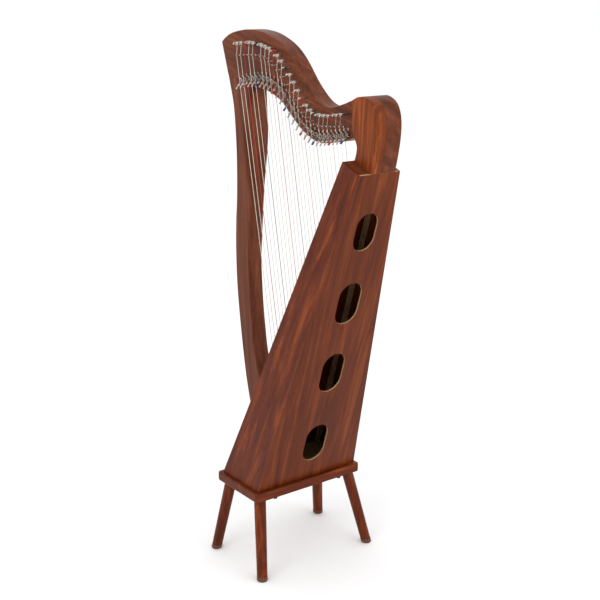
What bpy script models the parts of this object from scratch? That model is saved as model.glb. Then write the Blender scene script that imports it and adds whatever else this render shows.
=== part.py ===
"""Floor harp with 27 strings and a sharping lever on each, standing on a stool of four splayed legs.

The strings lie in the plane Y = 0 at the soundboard and pass the neck on its left, which is -Y.
The pillar is towards -X, the player sits towards +X, and the feet stand on Z = 0.
"""

import math

import bmesh
import bpy
from mathutils import Matrix, Vector

# Clearances
GAP = 0.0003
WELD_DISTANCE = 0.00001

# Strings
STRING_COUNT = 27
FIRST_FOOT = 0.127
FOOT_STEP = 0.0289
FOOT_CLOSING = 0.000045
FIRST_PIN_X = -0.242
PIN_STEP = 0.01845
PIN_CLOSING = 0.000048
STRING_PLANE_Y = -0.012
BASS_DIAMETER = 0.0016
TREBLE_DIAMETER = 0.0007

# Tuning pins, bridge pins and the string wound on each tuning pin
TUNING_PIN_RADIUS = 0.0025
TUNING_PIN_SIDES = 6
TUNING_PIN_TIP_Y = -0.024
TUNING_PIN_END_Y = 0.063
BRIDGE_PIN_RADIUS = 0.0016
BRIDGE_PIN_SIDES = 4
BRIDGE_PIN_TIP_Y = -0.0165
BRIDGE_PIN_END_Y = 0.0505
PIN_STRIP_HALF_WIDTH = 0.004
PIN_STRIP_THICKNESS = 0.0015
PIN_STRIP_OVERHANG = 0.006
WINDING_START_Y = -0.009
WINDING_PITCH = 0.003
WINDING_LOOPS = 2
WINDING_POINTS = 8
WINDING_TAIL = 0.006
STRING_BEVEL_RESOLUTION = 0
CONTACT_RUN = 0.002
CONTACT_RISE = 0.0015
PIN_HOLE_MARGIN = 0.002
TUNING_LINE = ((-0.243, 1.351), (-0.180, 1.356), (-0.120, 1.350), (-0.067, 1.332), (-0.011, 1.286),
               (0.029, 1.244), (0.062, 1.213), (0.096, 1.200), (0.139, 1.198), (0.206, 1.208))
BRIDGE_LINE = ((-0.243, 1.3205), (-0.190, 1.325), (-0.140, 1.3245), (-0.100, 1.314), (-0.060, 1.292),
               (-0.020, 1.252), (0.020, 1.213), (0.060, 1.186), (0.097, 1.173), (0.140, 1.1735),
               (0.206, 1.179))

# Sharping levers
SEMITONE = 1.0 - 2.0 ** (-1.0 / 12.0)
LEVER_DROP = 0.008
LEVER_PIVOT_DEPTH = 0.005
LEVER_REST_ANGLE = math.radians(45.0)
LEVER_REACH = 0.017
LEVER_LENGTH = 0.031
LEVER_THICKNESS = 0.002
LEVER_INNER = 0.0029
LEVER_OUTER = 0.0044
HANDLE_HALF_WIDTH = 0.0019
AXLE_HALF = 0.0009
LEVER_FOOT_THICKNESS = 0.0016
LEVER_FOOT_LOW = -0.007
LEVER_FOOT_HIGH = 0.014
LEVER_BASE_HALF_WIDTH = 0.0025
LEVER_POST_DEPTH = 0.0075
LEVER_SLOT_HALF = 0.0017
FRET_HEIGHT = 0.006
FRET_DEPTH = 0.0115
FRET_HALF = 0.0008
LEVER_STRIP_THICKNESS = 0.0011
LEVER_STRIP_STEP = 0.0001
FORK_RIM = 0.0012
HANDLE_START = 0.0030
HANDLE_FLARE = 1.25
HANDLE_TIP = 0.6
HANDLE_TIP_LENGTH = 0.002
POST_CHAMFER = 1.6
FRET_CHAMFER = 3

# Neck, shoulder and pillar
NECK_LEFT_Y = 0.002
NECK_RIGHT_Y = 0.048
CHEEK_LEFT_Y = -0.027
EDGE_ROUND = 0.004
SEAM_X = 0.240
NECK_TOP = ((-0.3375, 1.3525), (-0.316, 1.366), (-0.285, 1.3775), (-0.226, 1.3865), (-0.171, 1.3855),
            (-0.118, 1.376), (-0.060, 1.353), (-0.015, 1.320), (0.036, 1.2655), (0.086, 1.2266),
            (0.130, 1.216), (0.180, 1.228), (0.212, 1.239), (0.240, 1.2465))
NECK_UNDERSIDE = ((-0.1925, 1.2437), (-0.128, 1.2376), (-0.068, 1.2155), (-0.026, 1.185), (0.016, 1.155),
                  (0.057, 1.136), (0.099, 1.1283), (0.148, 1.1345), (0.186, 1.142), (0.219, 1.152),
                  (0.240, 1.1565))
NECK_SEAM_OUTER = (-0.3097, 1.2697)
SHOULDER_BACK = ((0.264, 1.252), (0.288, 1.2545), (0.311, 1.247), (0.325, 1.235), (0.333, 1.218),
                 (0.3365, 1.200), (0.337, 1.180), (0.3345, 1.155), (0.328, 1.120), (0.3185, 1.0832))
SHOULDER_WAIST = ((0.2582, 1.108), (0.264, 1.124), (0.266, 1.139), (0.262, 1.150))
CHEEK_FRONT = ((0.255, 1.162), (0.251, 1.176), (0.248, 1.205), (0.247, 1.244))
PILLAR_OUTER = ((-0.3097, 1.2697), (-0.302, 1.244), (-0.2867, 1.190), (-0.2787, 1.116), (-0.2755, 1.040),
                (-0.2775, 0.944), (-0.284, 0.870), (-0.2862, 0.793), (-0.2833, 0.702), (-0.2737, 0.612),
                (-0.2564, 0.498), (-0.2384, 0.408), (-0.212, 0.325), (-0.172, 0.264), (-0.1142, 0.236))
PILLAR_INNER = ((-0.1925, 1.2437), (-0.190, 1.188), (-0.187, 1.120), (-0.193, 1.059), (-0.2065, 0.972),
                (-0.2185, 0.844), (-0.2236, 0.766), (-0.2176, 0.663), (-0.209, 0.591), (-0.1964, 0.515),
                (-0.174, 0.440), (-0.137, 0.380), (-0.0725, 0.334))
PILLAR_SCOOP = ((-0.2014, 1.2437), (-0.221, 1.193), (-0.237, 1.1417), (-0.2371, 1.1046), (-0.2356, 1.0675),
                (-0.2253, 1.0216), (-0.2144, 0.976), (-0.212, 0.930), (-0.2165, 0.870))
PILLAR_STATIONS = 18

# Soundbox
BOX_BOTTOM = 0.2303
BOX_FRONT_X = -0.1164
BOX_BACK_X = 0.0471
BOX_TOP_FRONT = (0.2576, 1.1077)
BOX_TOP_BACK = (0.3186, 1.0827)
BOX_HALF_WIDTH = 0.160
BOX_TOP_HALF_WIDTH = 0.0598
SOUNDBOARD_THICKNESS = 0.004
BACK_THICKNESS = 0.004
SIDE_THICKNESS = 0.007
LINING_SIZE = 0.010
OUTER_RIB_HALF_WIDTH = 0.013
OUTER_RIB_THICKNESS = 0.004
INNER_RIB_HALF_WIDTH = 0.018
INNER_RIB_THICKNESS = 0.008
OUTER_RIB_START = 0.1225
INNER_RIB_START = 0.098
OUTER_RIB_END = 0.948
INNER_RIB_END = 0.895
TOP_BLOCK_LENGTH = 0.055
BOTTOM_PANEL_THICKNESS = 0.018
PILLAR_BLOCK_HEIGHT = 0.055
PILLAR_BLOCK_THICKNESS = 0.028
PILLAR_BLOCK_HALF_WIDTH = 0.045
BRACE_HEIGHT = 0.012
BRACE_WIDTH = 0.012
BRACE_PLACES = (0.255, 0.495, 0.72)
SOUND_HOLES = ((0.13, 0.116, 0.070), (0.38, 0.116, 0.070), (0.61, 0.116, 0.070), (0.83, 0.100, 0.064))
SOUND_HOLE_END_POINTS = 12
SOUND_HOLE_CUT_OUT = 0.01
SOUND_HOLE_CUT_DEPTH = 0.02
STRING_HOLE_RADIUS = 0.0019
STRING_END_LENGTH = 0.032
STRING_HOLE_REACH = 0.030
ANCHOR_BAR_START = 0.094
ANCHOR_BAR_END = 0.828
ANCHOR_BAR_DEPTH = 0.0145
ANCHOR_BAR_THICKNESS = 0.004
ANCHOR_BAR_HALF_WIDTH = 0.002

# Stool
PLATE_FRONT_X = -0.129
PLATE_BACK_X = 0.059
PLATE_HALF_WIDTH = 0.1715
PLATE_BOTTOM = 0.205
PLATE_TOP = 0.230
PLATE_CORNER = 0.008
PLATE_ROUND = 0.003
LEG_TOPS = {"front": (-0.101, 0.146), "rear": (0.036, 0.146)}
LEG_FEET = {"front": (-0.1335, 0.177), "rear": (0.0884, 0.177)}
LEG_TOP_RADIUS = 0.016
LEG_FOOT_RADIUS = 0.014
TIP_HEIGHT = 0.012
TIP_RADIUS = 0.0145
TIP_ROUND = 0.003
LEG_SIDES = 16
STUD_RADIUS = 0.004
STUD_LOW = 0.182
STUD_HIGH = 0.222
BUMPER_PLACE = (0.049, 0.106)
BUMPER_RADIUS = 0.0065
BUMPER_HEIGHT = 0.005
BUMPER_TAPER = 0.85
PILLAR_BOLT_HEIGHT = 0.284
PILLAR_BOLT_RADIUS = 0.004
PILLAR_BOLT_GRIP = 0.040
PILLAR_BOLT_HEAD_HEIGHT = 0.006
PILLAR_BOLT_HEAD_RADIUS = 0.009
PILLAR_BOLT_OVERLAP = 0.002
PILLAR_BOLT_HOLE_START = 0.001

for old_object in list(bpy.data.objects):
    bpy.data.objects.remove(old_object)


# Finishes
def make_finish(name, colour, roughness, metallic=0.0):
    """A Principled material in one colour."""
    finish = bpy.data.materials.new(name)
    finish.use_nodes = True
    shader = finish.node_tree.nodes["Principled BSDF"]
    shader.inputs["Base Color"].default_value = (*colour, 1.0)
    shader.inputs["Roughness"].default_value = roughness
    shader.inputs["Metallic"].default_value = metallic
    finish.diffuse_color = (*colour, 1.0)
    return finish


RED_BROWN_WOOD = make_finish("red_brown_wood", (0.20, 0.052, 0.023), 0.38)
DARK_BROWN_WOOD = make_finish("dark_brown_wood", (0.13, 0.040, 0.020), 0.38)
PALE_WOOD = make_finish("pale_wood", (0.55, 0.36, 0.19), 0.6)
NICKEL = make_finish("nickel", (0.62, 0.60, 0.56), 0.25, 1.0)
STEEL = make_finish("steel", (0.45, 0.45, 0.45), 0.35, 1.0)
RUBBER = make_finish("rubber", (0.012, 0.012, 0.012), 0.8)
CLEAR_NYLON = make_finish("clear_nylon", (0.66, 0.60, 0.50), 0.3)


# Curves and outlines
def smooth_curve(controls, steps):
    """Points of a smooth curve that passes through every control point."""
    ends = [controls[0], *controls, controls[-1]]
    points = []
    for number in range(len(controls) - 1):
        before, start, end, after = (Vector(point) for point in ends[number:number + 4])
        for step in range(steps):
            share = step / steps
            bend = (end - before) * 0.5 * share
            bend += (before * 2 - start * 5 + end * 4 - after) * 0.5 * share ** 2
            bend += (start * 3 - before - end * 3 + after) * 0.5 * share ** 3
            points.append(start + bend)
    points.append(Vector(controls[-1]))
    return points


def height_at(curve, x):
    """Z of a curve of (x, z) points, which runs towards +X, at one x."""
    for start, end in zip(curve[:-1], curve[1:]):
        if x <= end.x:
            return start.y + (end.y - start.y) * (x - start.x) / (end.x - start.x)
    return curve[-1].y


def x_at(curve, height):
    """X of a curve of (x, z) points, which runs downwards, at one height."""
    for start, end in zip(curve[:-1], curve[1:]):
        if height >= end.y:
            return start.x + (end.x - start.x) * (height - start.y) / (end.y - start.y)
    return curve[-1].x


# Meshes
def place(name, shape, finish, smooth=None):
    """Turn a bmesh into an object of that name."""
    bmesh.ops.recalc_face_normals(shape, faces=shape.faces)
    mesh = bpy.data.meshes.new(name)
    shape.to_mesh(mesh)
    shape.free()
    mesh.materials.append(finish)
    if smooth is not None:
        mesh.shade_smooth()
        mesh.set_sharp_from_angle(angle=smooth)
    thing = bpy.data.objects.new(name, mesh)
    bpy.context.scene.collection.objects.link(thing)
    return thing


def add_prism(shape, low_ring, high_ring):
    """Join two rings of points with the same count into a closed solid; returns both vertex rings."""
    low = [shape.verts.new(point) for point in low_ring]
    high = [shape.verts.new(point) for point in high_ring]
    shape.faces.new(low)
    shape.faces.new(high)
    for index, vertex in enumerate(low):
        following = (index + 1) % len(low)
        shape.faces.new((vertex, low[following], high[following], high[index]))
    return low, high


def add_rod(shape, start, end, radius, sides, end_radius=None):
    """Add a straight round rod or cone between two points."""
    start = Vector(start)
    end = Vector(end)
    turn = (end - start).to_track_quat("Z", "Y").to_matrix().to_4x4()
    matrix = Matrix.Translation((start + end) / 2) @ turn
    bmesh.ops.create_cone(
        shape,
        cap_ends=True,
        segments=sides,
        radius1=radius,
        radius2=radius if end_radius is None else end_radius,
        depth=(end - start).length,
        matrix=matrix,
    )


def add_stack(shape, stations, sides):
    """Add a turned piece whose level rings of (centre, radius) are joined from bottom to top."""
    rings = []
    for centre, radius in stations:
        ring = []
        for side in range(sides):
            angle = math.tau * side / sides
            ring.append(shape.verts.new(centre + Vector((math.cos(angle), math.sin(angle), 0)) * radius))
        rings.append(ring)
    shape.faces.new(rings[0])
    shape.faces.new(rings[-1])
    for lower, upper in zip(rings[:-1], rings[1:]):
        for side in range(sides):
            following = (side + 1) % sides
            shape.faces.new((lower[side], lower[following], upper[following], upper[side]))


def board_from_outline(name, outline, low_y, high_y, finish, plain_edges):
    """A board cut to an (x, z) outline, its long edges rounded except where it meets its neighbours."""
    shape = bmesh.new()
    low_ring = [(point[0], low_y, point[1]) for point in outline]
    high_ring = [(point[0], high_y, point[1]) for point in outline]
    rings = add_prism(shape, low_ring, high_ring)
    weight = shape.edges.layers.float.new("bevel_weight_edge")
    for ring in rings:
        for index, vertex in enumerate(ring):
            edge = shape.edges.get((vertex, ring[(index + 1) % len(ring)]))
            edge[weight] = 0.0 if index in plain_edges else 1.0
    board = place(name, shape, finish, math.radians(35))
    round_edges(board, EDGE_ROUND)
    return board


def round_edges(thing, width, by_weight=True):
    """Round the marked edges, or every sharp edge."""
    bevel = thing.modifiers.new("rounded edges", "BEVEL")
    bevel.width = width
    bevel.segments = 2
    bevel.limit_method = "WEIGHT" if by_weight else "ANGLE"
    bevel.use_clamp_overlap = True


def make_cutter(name, shape):
    """A hidden solid that cuts holes."""
    cutter = place(name, shape, STEEL)
    cutter.hide_render = True
    cutter.display_type = "WIRE"
    return cutter


def cut(thing, cutter):
    """Take the cutter's solids out of a piece."""
    drill = thing.modifiers.new("holes", "BOOLEAN")
    drill.operation = "DIFFERENCE"
    drill.solver = "EXACT"
    drill.object = cutter


def unite(thing, helper):
    """Join a hidden helper's solids to a piece."""
    join = thing.modifiers.new("joined", "BOOLEAN")
    join.operation = "UNION"
    join.solver = "EXACT"
    join.object = helper


# The soundbox's planes
FRONT_LEAN = (BOX_TOP_FRONT[0] - BOX_FRONT_X) / (BOX_TOP_FRONT[1] - BOX_BOTTOM)
BACK_LEAN = (BOX_TOP_BACK[0] - BOX_BACK_X) / (BOX_TOP_BACK[1] - BOX_BOTTOM)
SIDE_LEAN = (BOX_HALF_WIDTH - BOX_TOP_HALF_WIDTH) / (BOX_TOP_FRONT[1] - BOX_BOTTOM)
TOP_SLOPE = (BOX_TOP_FRONT[1] - BOX_TOP_BACK[1]) / (BOX_TOP_BACK[0] - BOX_TOP_FRONT[0])
FRONT_STRETCH = math.hypot(1.0, FRONT_LEAN)
BACK_STRETCH = math.hypot(1.0, BACK_LEAN)
SIDE_STRETCH = math.hypot(1.0, SIDE_LEAN)
BOARD_UP = Vector((FRONT_LEAN, 0, 1)).normalized()
BOARD_OUT = Vector((-BOARD_UP.z, 0, BOARD_UP.x))
BACK_UP = Vector((BACK_LEAN, 0, 1)).normalized()
BACK_OUT = Vector((BACK_UP.z, 0, -BACK_UP.x))


def front_x(height, depth=0.0):
    """X of the plane that lies this deep under the soundboard's outer face."""
    return BOX_FRONT_X + FRONT_LEAN * (height - BOX_BOTTOM) + depth * FRONT_STRETCH


def back_x(height, depth=0.0):
    """X of the plane that lies this deep under the back panel's outer face."""
    return BOX_BACK_X + BACK_LEAN * (height - BOX_BOTTOM) - depth * BACK_STRETCH


def half_width(height, depth=0.0):
    """Half of the box's width at a height, this deep under the sides."""
    return BOX_HALF_WIDTH - SIDE_LEAN * (height - BOX_BOTTOM) - depth * SIDE_STRETCH


def top_corner(plane, depth, drop=0.0):
    """The (x, z) point where a leaning plane meets the box's sloping top, or a plane below it."""
    low = BOX_BOTTOM
    start = plane(low, depth)
    lean = plane(low + 1.0, depth) - start
    level = BOX_TOP_FRONT[1] - drop * math.hypot(1.0, TOP_SLOPE)
    x = (start + lean * (level + TOP_SLOPE * BOX_TOP_FRONT[0] - low)) / (1 + lean * TOP_SLOPE)
    return x, level - TOP_SLOPE * (x - BOX_TOP_FRONT[0])


def add_tapered(shape, profile, left, right):
    """Add a panel with an (x, z) profile whose Y limits follow the height."""
    low_ring = [(x, left(z), z) for x, z in profile]
    high_ring = [(x, right(z), z) for x, z in profile]
    add_prism(shape, low_ring, high_ring)


def board_point(distance, out=0.0, y=0.0):
    """A point on the soundboard's middle line, up from its foot and out from its face."""
    point = Vector((BOX_FRONT_X, y, BOX_BOTTOM)) + BOARD_UP * distance
    return point + BOARD_OUT * out


# Where each string runs
TUNING_CURVE = smooth_curve(TUNING_LINE, 4)
BRIDGE_CURVE = smooth_curve(BRIDGE_LINE, 4)


def string_diameter(number):
    """Diameter of a string, thick in the bass."""
    share = number / (STRING_COUNT - 1)
    return BASS_DIAMETER + (TREBLE_DIAMETER - BASS_DIAMETER) * share


def string_foot(number):
    """Where a string leaves the soundboard."""
    distance = FIRST_FOOT + FOOT_STEP * number - FOOT_CLOSING * number ** 2
    return board_point(distance)


def pin_x(number):
    """X of a string's two pins."""
    return FIRST_PIN_X + PIN_STEP * number - PIN_CLOSING * number ** 2


def tuning_pin(number):
    """Axis point of a tuning pin on the neck's left face."""
    x = pin_x(number)
    return Vector((x, NECK_LEFT_Y, height_at(TUNING_CURVE, x)))


def bridge_pin(number):
    """Axis point of a bridge pin on the neck's left face."""
    x = pin_x(number)
    return Vector((x, NECK_LEFT_Y, height_at(BRIDGE_CURVE, x)))


def bridge_contact(number):
    """Where a string passes its bridge pin, on the pillar side."""
    beside = BRIDGE_PIN_RADIUS + string_diameter(number) / 2 + GAP
    point = bridge_pin(number)
    return Vector((point.x - beside, STRING_PLANE_Y, point.z))


def string_direction(number):
    """Unit vector up a string."""
    return (bridge_contact(number) - string_foot(number)).normalized()


def lever_frame(number):
    """Pivot point, hinge axis and upward direction of a string's lever."""
    contact = bridge_contact(number)
    length = (contact - string_foot(number)).length
    along = string_direction(number)
    point = contact - along * (length * SEMITONE + LEVER_DROP)
    pivot = Vector((point.x, NECK_LEFT_Y - LEVER_PIVOT_DEPTH, point.z))
    up = Vector((along.x, 0, along.z)).normalized()
    axis = Vector((up.z, 0, -up.x))
    return pivot, axis, up


# Neck, shoulder and pillar
def make_neck():
    """The neck, a thick board cut to a swan-like curve."""
    top = smooth_curve(NECK_TOP, 2)
    underside = smooth_curve(NECK_UNDERSIDE, 2)
    outline = [Vector(NECK_SEAM_OUTER), *top, *reversed(underside)]
    seam_right = len(top)
    seam_left = len(outline) - 1
    return board_from_outline("neck", outline, NECK_LEFT_Y, NECK_RIGHT_Y, RED_BROWN_WOOD,
                              (seam_right, seam_left))


def make_shoulder_block():
    """The block that carries the neck's end on top of the soundbox."""
    seam = SEAM_X + GAP
    back = smooth_curve(SHOULDER_BACK, 2)
    waist = smooth_curve(SHOULDER_WAIST, 2)
    outline = [Vector((seam, NECK_TOP[-1][1])), *back, *waist, Vector((seam, NECK_UNDERSIDE[-1][1]))]
    lifted = lift_from_box_top(outline)
    bottom = len(back)
    last = len(outline) - 1
    return board_from_outline("shoulder_block", lifted, NECK_LEFT_Y, NECK_RIGHT_Y, RED_BROWN_WOOD,
                              (bottom, last))


def make_shoulder_cheek():
    """The thick upright cheek on the left of the shoulder."""
    back = smooth_curve(SHOULDER_BACK, 2)
    front = smooth_curve((*SHOULDER_WAIST, *CHEEK_FRONT), 2)
    outline = lift_from_box_top([*back, *front])
    bottom = len(back) - 1
    return board_from_outline("shoulder_cheek", outline, CHEEK_LEFT_Y, NECK_LEFT_Y - GAP, RED_BROWN_WOOD,
                              (bottom,))


def lift_from_box_top(outline):
    """Raise the lowest points of a shoulder outline to just above the box's sloping top."""
    lifted = []
    for point in outline:
        floor = BOX_TOP_FRONT[1] - TOP_SLOPE * (point[0] - BOX_TOP_FRONT[0]) + GAP
        lifted.append(Vector((point[0], max(point[1], floor))))
    return lifted


def make_pillar():
    """The bowed pillar, with a long scoop beside the bass strings."""
    outer = smooth_curve(PILLAR_OUTER, 4)
    inner = smooth_curve(PILLAR_INNER, 4)
    scoop = smooth_curve(PILLAR_SCOOP, 4)
    shape = bmesh.new()
    sections = []
    for station in range(PILLAR_STATIONS + 1):
        share = station / PILLAR_STATIONS
        outer_z = PILLAR_OUTER[0][1] + (PILLAR_OUTER[-1][1] - PILLAR_OUTER[0][1]) * share
        inner_z = PILLAR_INNER[0][1] + (PILLAR_INNER[-1][1] - PILLAR_INNER[0][1]) * share
        inner_x = x_at(inner, inner_z)
        left_x = inner_x
        if inner_z > PILLAR_SCOOP[-1][1]:
            left_x = min(inner_x, x_at(scoop, inner_z))
        if station == 0:
            outer_z -= GAP
            inner_z -= GAP
        corners = (
            (x_at(outer, outer_z), NECK_LEFT_Y, outer_z),
            (left_x, NECK_LEFT_Y, inner_z),
            (inner_x, NECK_RIGHT_Y, inner_z),
            (x_at(outer, outer_z), NECK_RIGHT_Y, outer_z),
        )
        sections.append([shape.verts.new(corner) for corner in corners])
    shape.faces.new(sections[0])
    shape.faces.new(sections[-1])
    weight = shape.edges.layers.float.new("bevel_weight_edge")
    for upper, lower in zip(sections[:-1], sections[1:]):
        for corner in range(4):
            following = (corner + 1) % 4
            shape.faces.new((upper[corner], upper[following], lower[following], lower[corner]))
            shape.edges.get((upper[corner], lower[corner]))[weight] = 1.0
    pillar = place("pillar", shape, DARK_BROWN_WOOD, math.radians(35))
    round_edges(pillar, EDGE_ROUND)
    return pillar


# Soundbox
def make_soundboard():
    """The thin front panel that carries the strings, glued over the sides' front edges."""
    inside = SOUNDBOARD_THICKNESS
    profile = (
        (front_x(BOX_BOTTOM), BOX_BOTTOM),
        top_corner(front_x, 0.0),
        top_corner(front_x, inside),
        (front_x(BOX_BOTTOM, inside), BOX_BOTTOM),
    )
    shape = bmesh.new()
    add_tapered(shape, profile, lambda z: -half_width(z), half_width)
    return place("soundboard", shape, PALE_WOOD)


def make_back_panel():
    """The back panel, with four round-ended sound holes."""
    inside = BACK_THICKNESS
    profile = (
        (back_x(BOX_BOTTOM), BOX_BOTTOM),
        top_corner(back_x, 0.0),
        top_corner(back_x, inside),
        (back_x(BOX_BOTTOM, inside), BOX_BOTTOM),
    )
    shape = bmesh.new()
    add_tapered(shape, profile, lambda z: -half_width(z), half_width)
    panel = place("back_panel", shape, RED_BROWN_WOOD)
    holes = bmesh.new()
    length = (Vector(top_corner(back_x, 0.0)) - Vector((BOX_BACK_X, BOX_BOTTOM))).length
    for share, hole_length, hole_width in SOUND_HOLES:
        centre = Vector((BOX_BACK_X, 0, BOX_BOTTOM)) + BACK_UP * length * share
        ring = obround(hole_length, hole_width)
        start = centre + BACK_OUT * SOUND_HOLE_CUT_OUT
        outside = [start + BACK_UP * up + Vector((0, across, 0)) for up, across in ring]
        within = [point - BACK_OUT * SOUND_HOLE_CUT_DEPTH for point in outside]
        add_prism(holes, outside, within)
    cut(panel, make_cutter("sound_hole_cutter", holes))
    return panel


def obround(length, width):
    """A round-ended slot's outline as (along, across) pairs."""
    radius = width / 2
    straight = length / 2 - radius
    ring = []
    for end in (1, -1):
        for step in range(SOUND_HOLE_END_POINTS + 1):
            angle = math.pi * step / SOUND_HOLE_END_POINTS
            ring.append((end * (straight + radius * math.sin(angle)), end * radius * math.cos(angle)))
    return ring


def make_sides():
    """The two tapered sides, between the soundboard and the back panel."""
    front = SOUNDBOARD_THICKNESS + GAP
    back = BACK_THICKNESS + GAP
    profile = (
        (front_x(BOX_BOTTOM, front), BOX_BOTTOM),
        top_corner(front_x, front),
        top_corner(back_x, back),
        (back_x(BOX_BOTTOM, back), BOX_BOTTOM),
    )
    for name, hand in (("side_left", -1), ("side_right", 1)):
        shape = bmesh.new()
        add_tapered(
            shape,
            profile,
            lambda z: hand * half_width(z),
            lambda z: hand * half_width(z, SIDE_THICKNESS),
        )
        place(name, shape, RED_BROWN_WOOD)


def lining_profile(plane, depth):
    """The side view of a lining strip along one leaning plane of the box."""
    bottom = BOX_BOTTOM + BOTTOM_PANEL_THICKNESS + GAP
    drop = TOP_BLOCK_LENGTH + GAP
    return (
        (plane(bottom, depth), bottom),
        top_corner(plane, depth, drop),
        top_corner(plane, depth + LINING_SIZE, drop),
        (plane(bottom, depth + LINING_SIZE), bottom),
    )


def add_lining(shape, profile, hand):
    """Add the strip in one inner corner of the box."""
    side = SIDE_THICKNESS + GAP
    add_tapered(
        shape,
        profile,
        lambda z: hand * half_width(z, side),
        lambda z: hand * half_width(z, side + LINING_SIZE),
    )


def make_front_linings():
    """Strips glued along the corners between the soundboard and the sides."""
    profile = lining_profile(front_x, SOUNDBOARD_THICKNESS + GAP)
    for name, hand in (("front_lining_left", -1), ("front_lining_right", 1)):
        shape = bmesh.new()
        add_lining(shape, profile, hand)
        place(name, shape, PALE_WOOD)


def make_top_block():
    """The solid block that closes the box's top and carries the shoulder."""
    front = SOUNDBOARD_THICKNESS + GAP
    back = BACK_THICKNESS + GAP
    side = SIDE_THICKNESS + GAP
    profile = (
        top_corner(front_x, front),
        top_corner(back_x, back),
        top_corner(back_x, back, TOP_BLOCK_LENGTH),
        top_corner(front_x, front, TOP_BLOCK_LENGTH),
    )
    shape = bmesh.new()
    add_tapered(shape, profile, lambda z: -half_width(z, side), lambda z: half_width(z, side))
    return place("top_block", shape, RED_BROWN_WOOD)


def make_bottom_panel():
    """The board that closes the box's lower end."""
    front = SOUNDBOARD_THICKNESS + GAP
    back = BACK_THICKNESS + GAP
    side = SIDE_THICKNESS + GAP
    top = BOX_BOTTOM + BOTTOM_PANEL_THICKNESS
    profile = (
        (front_x(BOX_BOTTOM, front), BOX_BOTTOM),
        (front_x(top, front), top),
        (back_x(top, back), top),
        (back_x(BOX_BOTTOM, back), BOX_BOTTOM),
    )
    shape = bmesh.new()
    add_tapered(shape, profile, lambda z: -half_width(z, side), lambda z: half_width(z, side))
    return place("bottom_panel", shape, PALE_WOOD)


def make_pillar_block():
    """The block behind the soundboard's lower end that the pillar is bolted to."""
    front = SOUNDBOARD_THICKNESS + GAP
    low = BOX_BOTTOM + BOTTOM_PANEL_THICKNESS + GAP
    high = low + PILLAR_BLOCK_HEIGHT
    profile = (
        (front_x(low, front), low),
        (front_x(high, front), high),
        (front_x(high, front + PILLAR_BLOCK_THICKNESS), high),
        (front_x(low, front + PILLAR_BLOCK_THICKNESS), low),
    )
    shape = bmesh.new()
    add_tapered(shape, profile, lambda z: -PILLAR_BLOCK_HALF_WIDTH, lambda z: PILLAR_BLOCK_HALF_WIDTH)
    return place("pillar_block", shape, PALE_WOOD)


def make_rib(name, near, far, half, start, end, finish):
    """A strip along the soundboard's middle between two depths."""
    low_ring = []
    high_ring = []
    for distance, out in ((start, near), (end, near), (end, far), (start, far)):
        low_ring.append(board_point(distance, out, -half))
        high_ring.append(board_point(distance, out, half))
    shape = bmesh.new()
    add_prism(shape, low_ring, high_ring)
    return place(name, shape, finish)


def make_back_frame():
    """The ladder that stiffens the back panel: two corner strips and three cross bars."""
    length = (Vector(top_corner(back_x, 0.0)) - Vector((BOX_BACK_X, BOX_BOTTOM))).length
    bars = bmesh.new()
    for share in BRACE_PLACES:
        middle = Vector((BOX_BACK_X, 0, BOX_BOTTOM)) + BACK_UP * length * share
        reach = half_width(middle.z, SIDE_THICKNESS + LINING_SIZE / 2)
        near = middle - BACK_OUT * (BACK_THICKNESS + 2 * GAP)
        far = near - BACK_OUT * BRACE_HEIGHT
        step = BACK_UP * BRACE_WIDTH / 2
        ring = (near - step, near + step, far + step, far - step)
        left = [point + Vector((0, -reach, 0)) for point in ring]
        right = [point + Vector((0, reach, 0)) for point in ring]
        add_prism(bars, left, right)
    frame = place("back_frame", bars, PALE_WOOD)
    strips = bmesh.new()
    profile = lining_profile(back_x, BACK_THICKNESS + GAP)
    for hand in (-1, 1):
        add_lining(strips, profile, hand)
    unite(frame, make_cutter("back_lining_guide", strips))
    return frame


# Stool
def make_base_plate():
    """The plate that the soundbox stands on, with rounded corners and edges."""
    outline = []
    middle_x = (PLATE_FRONT_X + PLATE_BACK_X) / 2
    half_x = (PLATE_BACK_X - PLATE_FRONT_X) / 2 - PLATE_CORNER
    half_y = PLATE_HALF_WIDTH - PLATE_CORNER
    for quarter, (side_x, side_y) in enumerate(((1, 1), (-1, 1), (-1, -1), (1, -1))):
        for step in range(4):
            angle = math.radians(90 * quarter + 30 * step)
            x = middle_x + side_x * half_x + PLATE_CORNER * math.cos(angle)
            y = side_y * half_y + PLATE_CORNER * math.sin(angle)
            outline.append((x, y))
    shape = bmesh.new()
    low_ring = [(x, y, PLATE_BOTTOM) for x, y in outline]
    high_ring = [(x, y, PLATE_TOP) for x, y in outline]
    add_prism(shape, low_ring, high_ring)
    plate = place("base_plate", shape, RED_BROWN_WOOD, math.radians(35))
    bevel = plate.modifiers.new("rounded edges", "BEVEL")
    bevel.width = PLATE_ROUND
    bevel.segments = 2
    bevel.limit_method = "ANGLE"
    bevel.angle_limit = math.radians(60)
    return plate


def leg_point(end, hand, height):
    """A point on a leg's axis at a height."""
    top = LEG_TOPS[end]
    foot = LEG_FEET[end]
    share = height / PLATE_BOTTOM
    x = foot[0] + (top[0] - foot[0]) * share
    y = foot[1] + (top[1] - foot[1]) * share
    return Vector((x, hand * y, height))


def leg_radius(height):
    """A leg's radius at a height."""
    return LEG_FOOT_RADIUS + (LEG_TOP_RADIUS - LEG_FOOT_RADIUS) * height / PLATE_BOTTOM


def each_leg():
    """The four legs as (name, end, hand)."""
    for end in ("front", "rear"):
        for side, hand in (("left", -1), ("right", 1)):
            yield f"leg_{end}_{side}", end, hand


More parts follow.
